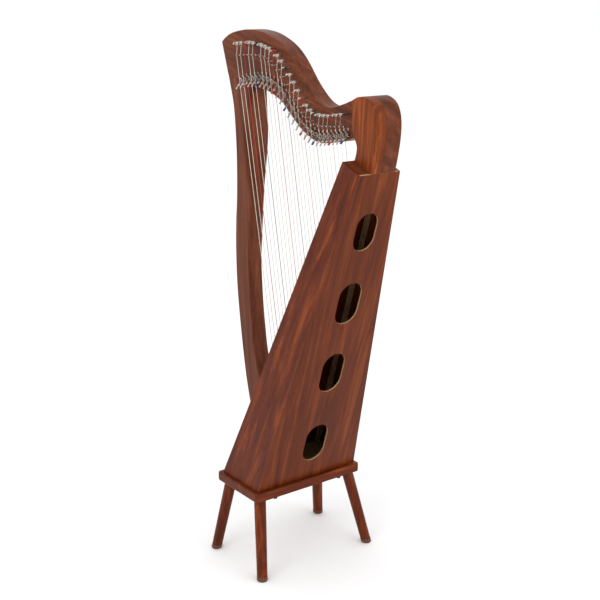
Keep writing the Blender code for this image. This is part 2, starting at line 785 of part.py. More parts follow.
def make_legs():
    """Four tapered round legs with rubber tips; each leg's stud screws up into the plate."""
    stud_holes = bmesh.new()
    for name, end, hand in each_leg():
        shape = bmesh.new()
        heights = (TIP_HEIGHT + GAP, PLATE_BOTTOM - GAP)
        add_stack(shape, [(leg_point(end, hand, z), leg_radius(z)) for z in heights], LEG_SIDES)
        leg = place(name, shape, RED_BROWN_WOOD, math.radians(35))
        low = leg_point(end, hand, STUD_LOW)
        high = leg_point(end, hand, STUD_HIGH)
        stud = bmesh.new()
        add_rod(stud, low, high, STUD_RADIUS, 8)
        unite(leg, make_cutter(f"{name}_stud_guide", stud))
        spare = (high - low).normalized() * 2 * GAP
        add_rod(stud_holes, low, high + spare, STUD_RADIUS + 2 * GAP, 8)
        tip = bmesh.new()
        stations = (
            (leg_point(end, hand, 0.0), TIP_RADIUS - TIP_ROUND),
            (leg_point(end, hand, TIP_ROUND), TIP_RADIUS),
            (leg_point(end, hand, TIP_HEIGHT), TIP_RADIUS),
        )
        add_stack(tip, stations, LEG_SIDES)
        place(name.replace("leg", "tip"), tip, RUBBER, math.radians(35))
    return make_cutter("stud_hole_cutter", stud_holes)


def make_bumpers():
    """Two small rubber bumpers under the plate's rear edge."""
    x, y = BUMPER_PLACE
    for name, hand in (("bumper_left", -1), ("bumper_right", 1)):
        shape = bmesh.new()
        top = Vector((x, hand * y, PLATE_BOTTOM - GAP))
        bottom = top - Vector((0, 0, BUMPER_HEIGHT))
        add_rod(shape, bottom, top, BUMPER_RADIUS * BUMPER_TAPER, 10, BUMPER_RADIUS)
        place(name, shape, RUBBER, math.radians(35))


def make_pillar_bolt():
    """The bolt from inside the box through the soundboard into the pillar's foot."""
    inside = SOUNDBOARD_THICKNESS + PILLAR_BLOCK_THICKNESS + 2 * GAP
    distance = (PILLAR_BOLT_HEIGHT - BOX_BOTTOM) * FRONT_STRETCH
    middle_y = (NECK_LEFT_Y + NECK_RIGHT_Y) / 2
    seat = board_point(distance, -inside, middle_y)
    end = board_point(distance, PILLAR_BOLT_GRIP, middle_y)
    shape = bmesh.new()
    head = seat - BOARD_OUT * GAP
    add_rod(shape, head - BOARD_OUT * PILLAR_BOLT_HEAD_HEIGHT, head, PILLAR_BOLT_HEAD_RADIUS, 8)
    bolt = place("pillar_bolt", shape, STEEL)
    shank = bmesh.new()
    add_rod(shank, head - BOARD_OUT * PILLAR_BOLT_OVERLAP, end, PILLAR_BOLT_RADIUS, 8)
    unite(bolt, make_cutter("pillar_bolt_shank", shank))
    holes = bmesh.new()
    start = head - BOARD_OUT * PILLAR_BOLT_HOLE_START
    add_rod(holes, start, end + BOARD_OUT * 2 * GAP, PILLAR_BOLT_RADIUS + 2 * GAP, 8)
    return make_cutter("pillar_bolt_hole_cutter", holes)


# Pins, levers and strings
def add_strip(shape, line, low_y, high_y, half):
    """Add a flat strip that follows a line of points across the neck's face."""
    reach = (line[1] - line[0]).normalized() * PIN_STRIP_OVERHANG
    line = [line[0] - reach, *line, line[-1] + reach]
    sections = []
    for index, point in enumerate(line):
        before = line[max(index - 1, 0)]
        after = line[min(index + 1, len(line) - 1)]
        run = Vector((after.x - before.x, 0, after.z - before.z)).normalized()
        side = Vector((-run.z, 0, run.x)) * half
        upper = point + side
        lower = point - side
        corners = ((lower.x, low_y, lower.z), (upper.x, low_y, upper.z),
                   (upper.x, high_y, upper.z), (lower.x, high_y, lower.z))
        sections.append([shape.verts.new(corner) for corner in corners])
    shape.faces.new(sections[0])
    shape.faces.new(sections[-1])
    for first, second in zip(sections[:-1], sections[1:]):
        for corner in range(4):
            following = (corner + 1) % 4
            shape.faces.new((first[corner], first[following], second[following], second[corner]))


def make_pins():
    """Tuning pins and bridge pins right through the neck, each row on a thin strip on its right face."""
    tuning = bmesh.new()
    bridge = bmesh.new()
    holes = bmesh.new()
    for number in range(STRING_COUNT):
        top = tuning_pin(number)
        low = bridge_pin(number)
        tip = Vector((top.x, TUNING_PIN_TIP_Y, top.z))
        end = Vector((top.x, TUNING_PIN_END_Y, top.z))
        add_rod(tuning, tip, end, TUNING_PIN_RADIUS, TUNING_PIN_SIDES)
        tip = Vector((low.x, BRIDGE_PIN_TIP_Y, low.z))
        end = Vector((low.x, BRIDGE_PIN_END_Y, low.z))
        add_rod(bridge, tip, end, BRIDGE_PIN_RADIUS, BRIDGE_PIN_SIDES)
        pins = ((top, TUNING_PIN_RADIUS, TUNING_PIN_SIDES), (low, BRIDGE_PIN_RADIUS, BRIDGE_PIN_SIDES))
        for point, radius, sides in pins:
            left = Vector((point.x, NECK_LEFT_Y - PIN_HOLE_MARGIN, point.z))
            right = Vector((point.x, NECK_RIGHT_Y + PIN_HOLE_MARGIN, point.z))
            add_rod(holes, left, right, radius + 2 * GAP, sides)
    near = NECK_RIGHT_Y + GAP
    far = near + PIN_STRIP_THICKNESS
    for name, pin_place, pins in (("tuning_pins", tuning_pin, tuning), ("bridge_pins", bridge_pin, bridge)):
        strip = bmesh.new()
        line = [pin_place(number) for number in range(STRING_COUNT)]
        add_strip(strip, line, near, far, PIN_STRIP_HALF_WIDTH)
        row = place(name, strip, NICKEL)
        unite(row, make_cutter(f"{name}_guide", pins))
    return make_cutter("pin_hole_cutter", holes)


def lever_matrix(number):
    """Turns a lever's own axes (across, outward, up) to its place on the neck."""
    pivot, axis, up = lever_frame(number)
    outward = Vector((0, -1, 0))
    turn = Matrix((axis, outward, up)).transposed().to_4x4()
    return Matrix.Translation(pivot) @ turn


def lever_mesh():
    """One lever: a fork round the string, its axle, and a handle, in the lever's own axes at rest."""
    outer = LEVER_OUTER
    inner = LEVER_INNER
    outline = (
        (-outer, -AXLE_HALF),
        (outer, -AXLE_HALF),
        (outer, LEVER_REACH + FORK_RIM),
        (HANDLE_HALF_WIDTH, LEVER_REACH + HANDLE_START),
        (HANDLE_HALF_WIDTH * HANDLE_FLARE, LEVER_LENGTH - HANDLE_TIP_LENGTH),
        (HANDLE_HALF_WIDTH * HANDLE_TIP, LEVER_LENGTH),
        (-HANDLE_HALF_WIDTH * HANDLE_TIP, LEVER_LENGTH),
        (-HANDLE_HALF_WIDTH * HANDLE_FLARE, LEVER_LENGTH - HANDLE_TIP_LENGTH),
        (-HANDLE_HALF_WIDTH, LEVER_REACH + HANDLE_START),
        (-outer, LEVER_REACH + FORK_RIM),
    )
    window = (
        (-inner, AXLE_HALF),
        (inner, AXLE_HALF),
        (inner, LEVER_REACH - FORK_RIM),
        (-inner, LEVER_REACH - FORK_RIM),
    )
    outward = Vector((0, math.cos(LEVER_REST_ANGLE), -math.sin(LEVER_REST_ANGLE)))
    sideways = Vector((1, 0, 0))
    normal = sideways.cross(outward)
    shape = bmesh.new()
    rings = []
    for offset in (-LEVER_THICKNESS / 2, LEVER_THICKNESS / 2):
        outer_ring = [shape.verts.new(sideways * u + outward * r + normal * offset) for u, r in outline]
        inner_ring = [shape.verts.new(sideways * u + outward * r + normal * offset) for u, r in window]
        rings.append((outer_ring, inner_ring))
        edges = []
        for ring in (outer_ring, inner_ring):
            for index, vertex in enumerate(ring):
                edges.append(shape.edges.new((vertex, ring[(index + 1) % len(ring)])))
        bmesh.ops.triangle_fill(shape, use_beauty=True, use_dissolve=False, edges=edges)
    for low_ring, high_ring in zip(rings[0], rings[1]):
        for index, vertex in enumerate(low_ring):
            following = (index + 1) % len(low_ring)
            shape.faces.new((vertex, low_ring[following], high_ring[following], high_ring[index]))
    return shape


def make_levers():
    """A lever for each string, which flips up on its axle to shorten the string by a semitone."""
    template = lever_mesh()
    bmesh.ops.recalc_face_normals(template, faces=template.faces)
    mesh = bpy.data.meshes.new("lever")
    template.to_mesh(mesh)
    template.free()
    mesh.materials.append(NICKEL)
    for number in range(STRING_COUNT):
        lever = bpy.data.objects.new(f"lever_{number + 1:02d}", mesh)
        lever.matrix_world = lever_matrix(number)
        bpy.context.scene.collection.objects.link(lever)


def lever_base_profile():
    """The side view of a lever's base as (outward, up) from the pivot, with a slot for the axle."""
    face = -LEVER_PIVOT_DEPTH + GAP
    foot = face + LEVER_FOOT_THICKNESS
    post = LEVER_POST_DEPTH - LEVER_PIVOT_DEPTH
    fret = FRET_DEPTH - LEVER_PIVOT_DEPTH
    slot = LEVER_SLOT_HALF
    return (
        (face, LEVER_FOOT_LOW),
        (foot, LEVER_FOOT_LOW),
        (post, -slot * POST_CHAMFER),
        (post, -slot),
        (-slot, -slot),
        (-slot, slot),
        (post, slot),
        (fret, FRET_HEIGHT - FRET_HALF),
        (fret, FRET_HEIGHT + FRET_HALF),
        (foot, FRET_HEIGHT + FRET_CHAMFER * FRET_HALF),
        (foot, LEVER_FOOT_HIGH),
        (face, LEVER_FOOT_HIGH),
    )


def make_lever_bases():
    """The lever bases, a slotted post that ends in a fret for each string, on one thin strip."""
    posts = bmesh.new()
    line = []
    for number in range(STRING_COUNT):
        matrix = lever_matrix(number)
        left = []
        right = []
        for outward, up in lever_base_profile():
            left.append(matrix @ Vector((-LEVER_BASE_HALF_WIDTH, outward, up)))
            right.append(matrix @ Vector((LEVER_BASE_HALF_WIDTH, outward, up)))
        add_prism(posts, left, right)
        line.append(matrix @ Vector((0, 0, LEVER_FOOT_HIGH / 2)))
    strip = bmesh.new()
    far = NECK_LEFT_Y - GAP - LEVER_STRIP_STEP
    add_strip(strip, line, far - LEVER_STRIP_THICKNESS, far, PIN_STRIP_HALF_WIDTH)
    bases = place("lever_bases", strip, NICKEL)
    unite(bases, make_cutter("lever_base_guide", posts))
    return bases


def string_route(number):
    """A string's points, from the toggle inside the box to its cut end on the tuning pin."""
    foot = string_foot(number)
    contact = bridge_contact(number)
    along = string_direction(number)
    diameter = string_diameter(number)
    pin = tuning_pin(number)
    flat = math.cos(math.pi / WINDING_POINTS)
    around = (TUNING_PIN_RADIUS + GAP + diameter / 2) / flat
    route = [foot - along * STRING_END_LENGTH, foot, contact - along * CONTACT_RUN]
    route.append(contact + Vector((0, 0, CONTACT_RISE)))
    steps = WINDING_LOOPS * WINDING_POINTS
    for step in range(steps + 1):
        turn = math.tau * step / WINDING_POINTS
        x = pin.x - around * math.cos(turn)
        y = WINDING_START_Y - WINDING_PITCH * step / WINDING_POINTS
        z = pin.z + around * math.sin(turn)
        route.append(Vector((x, y, z)))
    route.append(route[-1] + Vector((0, 0, WINDING_TAIL)))
    return route


def least_gap(route, diameter):
    """The least clear distance between stretches of a string that lie more than half a loop apart."""
    points = []
    for start, end in zip(route[4:-1], route[5:]):
        points.extend(start.lerp(end, step / 4) for step in range(4))
    apart = 4 * WINDING_POINTS // 2
    least = 1.0
    for index, point in enumerate(points):
        for other in points[index + apart:]:
            least = min(least, (other - point).length - diameter)
    return least


def string_tubes():
    """A hidden mesh of all the strings, each one unbroken tube from the box to its winding."""
    curve = bpy.data.curves.new("string_tubes", "CURVE")
    curve.dimensions = "3D"
    curve.bevel_depth = BASS_DIAMETER / 2
    curve.bevel_resolution = STRING_BEVEL_RESOLUTION
    curve.use_fill_caps = True
    for number in range(STRING_COUNT):
        route = string_route(number)
        spline = curve.splines.new("POLY")
        spline.points.add(len(route) - 1)
        for point, position in zip(spline.points, route):
            point.co = (*position, 1.0)
            point.radius = string_diameter(number) / BASS_DIAMETER
    source = bpy.data.objects.new("string_tubes", curve)
    bpy.context.scene.collection.objects.link(source)
    evaluated = source.evaluated_get(bpy.context.evaluated_depsgraph_get())
    shape = bmesh.new()
    shape.from_mesh(bpy.data.meshes.new_from_object(evaluated))
    bmesh.ops.remove_doubles(shape, verts=shape.verts, dist=WELD_DISTANCE)
    bpy.data.objects.remove(source)
    return make_cutter("string_guide", shape)


def make_strings():
    """The strings, joined by the bar that anchors them inside the soundbox."""
    shape = bmesh.new()
    low_ring = []
    high_ring = []
    near = -ANCHOR_BAR_DEPTH
    far = near - ANCHOR_BAR_THICKNESS
    corners = (
        (ANCHOR_BAR_START, near),
        (ANCHOR_BAR_END, near),
        (ANCHOR_BAR_END, far),
        (ANCHOR_BAR_START, far),
    )
    for distance, out in corners:
        low_ring.append(board_point(distance, out, -ANCHOR_BAR_HALF_WIDTH))
        high_ring.append(board_point(distance, out, ANCHOR_BAR_HALF_WIDTH))
    add_prism(shape, low_ring, high_ring)
    strings = place("strings", shape, CLEAR_NYLON)
    unite(strings, string_tubes())
    return strings


def make_string_hole_cutter():
    """The holes that the strings pass through in the soundboard and its two ribs."""
    shape = bmesh.new()
    for number in range(STRING_COUNT):
        foot = string_foot(number)
        along = string_direction(number)
        reach = along * STRING_HOLE_REACH
        add_rod(shape, foot - reach, foot + reach, STRING_HOLE_RADIUS, 4)
    return make_cutter("string_hole_cutter", shape)


def main():
    """Build the whole harp."""
    neck = make_neck()
    make_shoulder_block()
    make_shoulder_cheek()
    pillar = make_pillar()

    soundboard = make_soundboard()
    make_back_panel()
    make_sides()
    make_front_linings()
    make_back_frame()
    make_top_block()
    make_bottom_panel()
    pillar_block = make_pillar_block()
    outer_rib = make_rib("outer_string_rib", GAP, OUTER_RIB_THICKNESS + GAP, OUTER_RIB_HALF_WIDTH,
                         OUTER_RIB_START, OUTER_RIB_END, RED_BROWN_WOOD)
    under = -SOUNDBOARD_THICKNESS - GAP
    inner_rib = make_rib("inner_string_rib", under, under - INNER_RIB_THICKNESS, INNER_RIB_HALF_WIDTH,
                         INNER_RIB_START, INNER_RIB_END, PALE_WOOD)

    plate = make_base_plate()
    cut(plate, make_legs())
    make_bumpers()
    pillar_bolt_hole = make_pillar_bolt()
    for piece in (pillar, soundboard, pillar_block):
        cut(piece, pillar_bolt_hole)
    cut(neck, make_pins())
    string_holes = make_string_hole_cutter()
    for piece in (outer_rib, soundboard, inner_rib):
        cut(piece, string_holes)

    make_lever_bases()
    make_levers()
    make_strings()
    gap = min(least_gap(string_route(number), string_diameter(number)) for number in range(STRING_COUNT))
    print(f"least gap of a winding to itself: {gap * 1000:.2f} mm")


main()
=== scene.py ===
"""Looks of a floor harp: varnished wood, wound strings, pins, sharping levers, and a white studio."""

import math

import bmesh
import bpy
from bpy.props import BoolProperty, FloatProperty, FloatVectorProperty, IntProperty, PointerProperty
from bpy.types import Operator, Panel, PropertyGroup
from mathutils import Matrix, Vector


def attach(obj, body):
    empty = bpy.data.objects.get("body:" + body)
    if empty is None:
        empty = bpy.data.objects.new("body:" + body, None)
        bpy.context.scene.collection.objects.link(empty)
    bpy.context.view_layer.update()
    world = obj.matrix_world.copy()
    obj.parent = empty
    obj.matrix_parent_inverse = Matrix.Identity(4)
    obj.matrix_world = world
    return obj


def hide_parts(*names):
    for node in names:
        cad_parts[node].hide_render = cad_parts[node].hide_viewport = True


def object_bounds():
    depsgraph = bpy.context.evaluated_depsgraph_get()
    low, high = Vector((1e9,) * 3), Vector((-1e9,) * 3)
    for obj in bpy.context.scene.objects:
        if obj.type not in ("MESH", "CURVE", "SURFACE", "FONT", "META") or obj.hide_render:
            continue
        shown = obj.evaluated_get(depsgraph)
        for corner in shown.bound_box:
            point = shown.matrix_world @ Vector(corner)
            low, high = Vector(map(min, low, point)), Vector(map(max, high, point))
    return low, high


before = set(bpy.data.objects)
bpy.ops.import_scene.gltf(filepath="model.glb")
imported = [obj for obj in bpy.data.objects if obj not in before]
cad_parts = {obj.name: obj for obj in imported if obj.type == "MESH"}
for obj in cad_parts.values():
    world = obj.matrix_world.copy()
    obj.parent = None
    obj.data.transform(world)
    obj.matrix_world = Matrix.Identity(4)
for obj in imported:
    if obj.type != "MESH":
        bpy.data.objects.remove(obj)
CAD_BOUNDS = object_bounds()

bl_info = {
    "name": "Lever harp looks",
    "version": (1, 0, 0),
    "blender": (4, 5, 0),
    "location": "3D View > Sidebar > Harp",
    "description": "Builds the wood, strings, pins, levers and studio of a lever harp",
    "category": "Object",
}

# Driving sizes, the same as the harp's frame
STRING_COUNT = 27
STRING_PLANE_Y = -0.012
BASS_DIAMETER = 0.0016
DIAMETER_FALL = 0.0009
FIRST_FOOT = 0.127
FOOT_STEP = 0.0289
FOOT_CLOSING = 0.000045
FIRST_PIN_X = -0.242
PIN_STEP = 0.01845
PIN_CLOSING = 0.000048
BRIDGE_PIN_RADIUS = 0.0016
TUNING_PIN_RADIUS = 0.0025
NECK_LEFT_Y = 0.002
NECK_RIGHT_Y = 0.048
CHEEK_LEFT_Y = -0.027
CLEARANCE = 0.0003
SEMITONE = 1.0 - 2.0 ** (-1.0 / 12.0)
LEVER_DROP = 0.008
LEVER_PIVOT_OUT = 0.005
LEVER_REACH = 0.017
LEVER_LENGTH = 0.031
LEVER_THICKNESS = 0.0019
SEAM_X = 0.240
BOX_BOTTOM = 0.2303
BOX_FRONT_X = -0.1164
BOX_BACK_X = 0.0471
BOX_TOP_FRONT = (0.2576, 1.1077)
BOX_TOP_BACK = (0.3186, 1.0827)
RIB_TOP = 0.0043
RED_STRINGS = (3, 10, 17, 24)
DARK_STRINGS = (6, 13, 20, 27)

TUNING_LINE = ((-0.243, 1.351), (-0.180, 1.356), (-0.120, 1.350), (-0.067, 1.332), (-0.011, 1.286),
               (0.029, 1.244), (0.062, 1.213), (0.096, 1.200), (0.139, 1.198), (0.206, 1.208))
BRIDGE_LINE = ((-0.243, 1.3205), (-0.190, 1.325), (-0.140, 1.3245), (-0.100, 1.314), (-0.060, 1.292),
               (-0.020, 1.252), (0.020, 1.213), (0.060, 1.186), (0.097, 1.173), (0.140, 1.1735),
               (0.206, 1.179))
NECK_TOP = ((-0.3375, 1.3525), (-0.316, 1.366), (-0.285, 1.3775), (-0.226, 1.3865), (-0.171, 1.3855),
            (-0.118, 1.376), (-0.060, 1.353), (-0.015, 1.320), (0.036, 1.2655), (0.086, 1.2266),
            (0.130, 1.216), (0.180, 1.228), (0.212, 1.239), (0.240, 1.2465))
NECK_UNDERSIDE = ((-0.1925, 1.2437), (-0.128, 1.2376), (-0.068, 1.2155), (-0.026, 1.185), (0.016, 1.155),
                  (0.057, 1.136), (0.099, 1.1283), (0.148, 1.1345), (0.186, 1.142), (0.219, 1.152),
                  (0.240, 1.1565))
NECK_SEAM_OUTER = (-0.3097, 1.2697)
SHOULDER_BACK = ((0.264, 1.252), (0.288, 1.2545), (0.311, 1.247), (0.325, 1.235), (0.333, 1.218),
                 (0.3365, 1.200), (0.337, 1.180), (0.3345, 1.155), (0.328, 1.120), (0.3185, 1.0832))
SHOULDER_WAIST = ((0.2582, 1.108), (0.264, 1.124), (0.266, 1.139), (0.262, 1.150))
CHEEK_FRONT = ((0.255, 1.162), (0.251, 1.176), (0.248, 1.205), (0.247, 1.244))
PILLAR_OUTER = ((-0.3097, 1.2697), (-0.302, 1.244), (-0.2867, 1.190), (-0.2787, 1.116), (-0.2755, 1.040),
                (-0.2775, 0.944), (-0.284, 0.870), (-0.2862, 0.793), (-0.2833, 0.702), (-0.2737, 0.612),
                (-0.2564, 0.498), (-0.2384, 0.408), (-0.212, 0.325), (-0.172, 0.264), (-0.1142, 0.236))
PILLAR_INNER = ((-0.1925, 1.2437), (-0.190, 1.188), (-0.187, 1.120), (-0.193, 1.059), (-0.2065, 0.972),
                (-0.2185, 0.844), (-0.2236, 0.766), (-0.2176, 0.663), (-0.209, 0.591), (-0.1964, 0.515),
                (-0.174, 0.440), (-0.137, 0.380), (-0.0725, 0.334))
PILLAR_SCOOP = ((-0.2014, 1.2437), (-0.221, 1.193), (-0.237, 1.1417), (-0.2371, 1.1046), (-0.2356, 1.0675),
                (-0.2253, 1.0216), (-0.2144, 0.976), (-0.212, 0.930), (-0.2165, 0.870))

# Strings: their reach into the box, the bend at the bridge pin, the winding and the cut end
STRING_INSIDE = 0.030
BRIDGE_LEAD = 0.003
BRIDGE_BEND = Vector((0, 0.0003, 0.0025))
WINDING_GAP = 0.0001
WINDING_START_Y = -0.009
WINDING_PITCH = 0.0021
WINDING_POINTS = 16
SHORTEST_TAIL = 0.003
TAIL_SPREAD = 0.003
TAIL_LEAN = 0.0015
TAIL_BENDS = ((0.4, -0.0003), (1.0, -0.0006))

# Turned pieces: profiles of (distance, radius) along their axes, and how many sides they have
TUNING_PIN_START_Y = 0.0512
TUNING_PIN_END_RADIUS = TUNING_PIN_RADIUS * 0.8
TUNING_PIN_PROFILE = ((0.0, TUNING_PIN_RADIUS), (0.0745, TUNING_PIN_RADIUS), (0.0752, TUNING_PIN_END_RADIUS))
TUNING_PIN_SIDES = 20
KEY_END_START_Y = 0.063
KEY_END_PROFILE = ((0.0, 0.0026), (0.0115, 0.0031))
KEY_END_SIDES = 4
BRIDGE_PIN_START_Y = 0.0505
BRIDGE_GROOVE_RADIUS = BRIDGE_PIN_RADIUS * 0.8
BRIDGE_TIP_RADIUS = BRIDGE_PIN_RADIUS * 0.6
BRIDGE_PIN_PROFILE = ((0.0, BRIDGE_PIN_RADIUS), (0.0612, BRIDGE_PIN_RADIUS), (0.0618, BRIDGE_GROOVE_RADIUS),
                      (0.0634, BRIDGE_GROOVE_RADIUS), (0.0640, BRIDGE_PIN_RADIUS),
                      (0.0664, BRIDGE_PIN_RADIUS), (0.0670, BRIDGE_TIP_RADIUS))
BRIDGE_PIN_SIDES = 16
SCREW_PROFILE = ((0.0, 0.0019), (0.0007, 0.0019), (0.0012, 0.0012))
SCREW_SIDES = 14
EYELET_PROFILE = ((0.0, 0.0019), (0.0, 0.0034), (0.0005, 0.0033), (0.0009, 0.0027), (0.0009, 0.0021))
EYELET_SIDES = 18

# Levers: their directions in their own axes, and one side of their outlines, as (across, outward)
LEVER_ACROSS = Vector((1, 0, 0))
LEVER_OUTWARD = Vector((0, math.sqrt(0.5), -math.sqrt(0.5)))
LEVER_NORMAL = LEVER_ACROSS.cross(LEVER_OUTWARD)
LEVER_SIDE = ((0.0044, -0.0009), (0.0044, LEVER_REACH + 0.0012), (0.0019, LEVER_REACH + 0.0030),
              (0.0024, LEVER_LENGTH - 0.002), (0.0011, LEVER_LENGTH))
LEVER_WINDOW_SIDE = ((0.0029, 0.0009), (0.0029, LEVER_REACH - 0.0012))
SLEEVE_ENDS = ((LEVER_REACH + 0.0045, 0.0027), (LEVER_LENGTH - 0.0005, 0.0029))
SLEEVE_HALF_THICKNESS = 0.0017
SLEEVE_ROUNDING = 0.0007
SLEEVE_SEGMENTS = 3

# Lever bases, with a profile of (outward, up) in the lever's own axes
BASE_PROFILE = ((-0.0047, -0.007), (-0.0031, -0.007), (0.0025, -0.0027), (0.0025, -0.0017),
                (-0.0017, -0.0017), (-0.0017, 0.0017), (0.0025, 0.0017), (0.0065, 0.0052),
                (0.0065, 0.0068), (-0.0031, 0.0084), (-0.0031, 0.014), (-0.0047, 0.014))
BASE_HALF_WIDTH = 0.0025
SCREW_SEAT = Vector((0, -0.0030, 0.0115))
METAL_ROUNDING = 0.0003

# Edges, curves and the margin that keeps the wood inside the harp's box
SMOOTH_ANGLE = math.radians(35)
BEVEL_ANGLE = math.radians(50)
WOOD_EDGE_SEGMENTS = 4
SHOWN_MARGIN = 0.0001
PIN_CURVE_STEPS = 4

# Textures: noise drawn out along and across the grain, and where the back panel's edges are bare
FIGURE_STRETCH = (3.0, 42.0, 42.0)
GRAIN_STRETCH = (14.0, 420.0, 420.0)
PORE_STRETCH = (55.0, 900.0, 900.0)
STREAK_TINT = (0.55, 0.50, 0.46)
PORE_TINT = (0.42, 0.38, 0.35)
NO_TINT = (1.0, 1.0, 1.0)
BARE_EDGE_REACH = 0.0575
BARE_EDGE_FACING = 0.8
DARK_PLY_SHARE = 0.62
WORN_METAL_SHARE = 0.775

# Studio
FLOOR_HALF = 30.0
FLOOR_Z = -0.0002
LIGHT_SIZE = 3.0
LIGHT_TARGET = (0.0, 0.0, 0.7)
KEY_PLACE = (1.4, -4.2, 3.6)
FILL_PLACE = (4.2, 1.4, 2.6)
FILL_SHARE = 0.5
CAMERA_PLACE = (2.2049, -1.6319, 1.4878)
CAMERA_DIP = 15.8
CAMERA_TURN = 53.3
CAMERA_LENS = 66.0
CAMERA_SENSOR = 36.0

FRONT_LEAN = (BOX_TOP_FRONT[0] - BOX_FRONT_X) / (BOX_TOP_FRONT[1] - BOX_BOTTOM)
BACK_LEAN = (BOX_TOP_BACK[0] - BOX_BACK_X) / (BOX_TOP_BACK[1] - BOX_BOTTOM)
TOP_SLOPE = (BOX_TOP_FRONT[1] - BOX_TOP_BACK[1]) / (BOX_TOP_BACK[0] - BOX_TOP_FRONT[0])
BOARD_UP = Vector((FRONT_LEAN, 0, 1)).normalized()
BOARD_OUT = Vector((-BOARD_UP.z, 0, BOARD_UP.x))
BACK_OUT = Vector((1, 0, -BACK_LEAN)).normalized()
NECK_OUT = Vector((0, -1, 0))


# Curves and string routes
def smooth_curve(controls, steps):
    """Points of a smooth curve through every control point."""
    ends = [controls[0], *controls, controls[-1]]
    points = []
    for number in range(len(controls) - 1):
        before, start, end, after = (Vector(point) for point in ends[number:number + 4])
        for step in range(steps):
            share = step / steps
            bend = (end - before) * 0.5 * share
            bend += (before * 2 - start * 5 + end * 4 - after) * 0.5 * share ** 2
            bend += (start * 3 - before - end * 3 + after) * 0.5 * share ** 3
            points.append(start + bend)
    points.append(Vector(controls[-1]))
    return points


def height_at(curve, x):
    """Z of a curve that runs towards +X."""
    for start, end in zip(curve[:-1], curve[1:]):
        if x <= end.x:
            return start.y + (end.y - start.y) * (x - start.x) / (end.x - start.x)
    return curve[-1].y


def x_at(curve, height):
    """X of a curve that runs downwards."""
    for start, end in zip(curve[:-1], curve[1:]):
        if height >= end.y:
            return start.x + (end.x - start.x) * (height - start.y) / (end.y - start.y)
    return curve[-1].x


def height_on_way(controls, share):
    """Z at a share of the way from a curve's first control point down to its last."""
    top = controls[0][1]
    return top + (controls[-1][1] - top) * share


TUNING_CURVE = smooth_curve(TUNING_LINE, PIN_CURVE_STEPS)
BRIDGE_CURVE = smooth_curve(BRIDGE_LINE, PIN_CURVE_STEPS)


def string_diameter(number):
    """Diameter of a string, thick in the bass."""
    return BASS_DIAMETER - DIAMETER_FALL * number / (STRING_COUNT - 1)


def string_foot(number):
    """Where a string leaves the soundboard."""
    distance = FIRST_FOOT + FOOT_STEP * number - FOOT_CLOSING * number ** 2
    return Vector((BOX_FRONT_X, 0, BOX_BOTTOM)) + BOARD_UP * distance


def pin_point(number, curve):
    """Axis point of a pin on the neck's left face."""
    x = FIRST_PIN_X + PIN_STEP * number - PIN_CLOSING * number ** 2
    return Vector((x, NECK_LEFT_Y, height_at(curve, x)))


def bridge_contact(number):
    """Where a string passes its bridge pin."""
    point = pin_point(number, BRIDGE_CURVE)
    beside = BRIDGE_PIN_RADIUS + string_diameter(number) / 2 + CLEARANCE
    return Vector((point.x - beside, STRING_PLANE_Y, point.z))


def lever_matrix(number):
    """Turns a lever's own axes, across, outward and up, to its place on the neck."""
    contact = bridge_contact(number)
    foot = string_foot(number)
    along = (contact - foot).normalized()
    point = contact - along * ((contact - foot).length * SEMITONE + LEVER_DROP)
    pivot = Vector((point.x, NECK_LEFT_Y - LEVER_PIVOT_OUT, point.z))
    up = Vector((along.x, 0, along.z)).normalized()
    across = Vector((up.z, 0, -up.x))
    turn = Matrix((across, NECK_OUT, up)).transposed().to_4x4()
    return Matrix.Translation(pivot) @ turn


def string_route(number, loops):
    """A string's points from its knot inside the box to its cut end on the tuning pin."""
    foot = string_foot(number)
    contact = bridge_contact(number)
    along = (contact - foot).normalized()
    pin = pin_point(number, TUNING_CURVE)
    around = TUNING_PIN_RADIUS + string_diameter(number) / 2 + WINDING_GAP
    route = [
        foot - along * STRING_INSIDE,
        foot,
        contact - along * BRIDGE_LEAD,
        contact,
        contact + BRIDGE_BEND,
    ]
    for step in range(loops * WINDING_POINTS + 1):
        turn = math.tau * step / WINDING_POINTS
        x = pin.x - around * math.cos(turn)
        y = WINDING_START_Y - WINDING_PITCH * step / WINDING_POINTS
        route.append(Vector((x, y, pin.z + around * math.sin(turn))))
    # The cut ends differ in length and lean from string to string
    tail = SHORTEST_TAIL + TAIL_SPREAD * ((number * 7) % 5) / 4
    lean = TAIL_LEAN * math.sin(number * 2.3)
    for share, aside in TAIL_BENDS:
        route.append(route[-1] + Vector((lean * share, aside, tail / 2)))
    return route


# Materials
def new_material(name):
    """A new material, its node tree and its shader."""
    material = bpy.data.materials.new(name)
    material.use_nodes = True
    tree = material.node_tree
    return material, tree, tree.nodes["Principled BSDF"]


def feed(tree, socket, value):
    """Link an input to a socket, or set it to a constant; a colour is made opaque."""
    if isinstance(value, bpy.types.NodeSocket):
        tree.links.new(value, socket)
    elif socket.type == "RGBA":
        socket.default_value = (*value[:3], 1.0)
    else:
        socket.default_value = value


def set_inputs(tree, node, **inputs):
    """Feed a node's inputs, named with underscores for spaces."""
    for key, value in inputs.items():
        feed(tree, node.inputs[key.replace("_", " ")], value)


def add_node(tree, kind, **inputs):
    """Add a shader node with its inputs."""
    node = tree.nodes.new(kind)
    set_inputs(tree, node, **inputs)
    return node


def object_place(tree):
    """The place on an object that a texture is drawn at."""
    return add_node(tree, "ShaderNodeTexCoord").outputs["Object"]


def noise(tree, place, scale, detail, **inputs):
    """The value of a noise texture."""
    node = add_node(tree, "ShaderNodeTexNoise", Vector=place, Scale=scale, Detail=detail, **inputs)
    return node.outputs["Fac"]


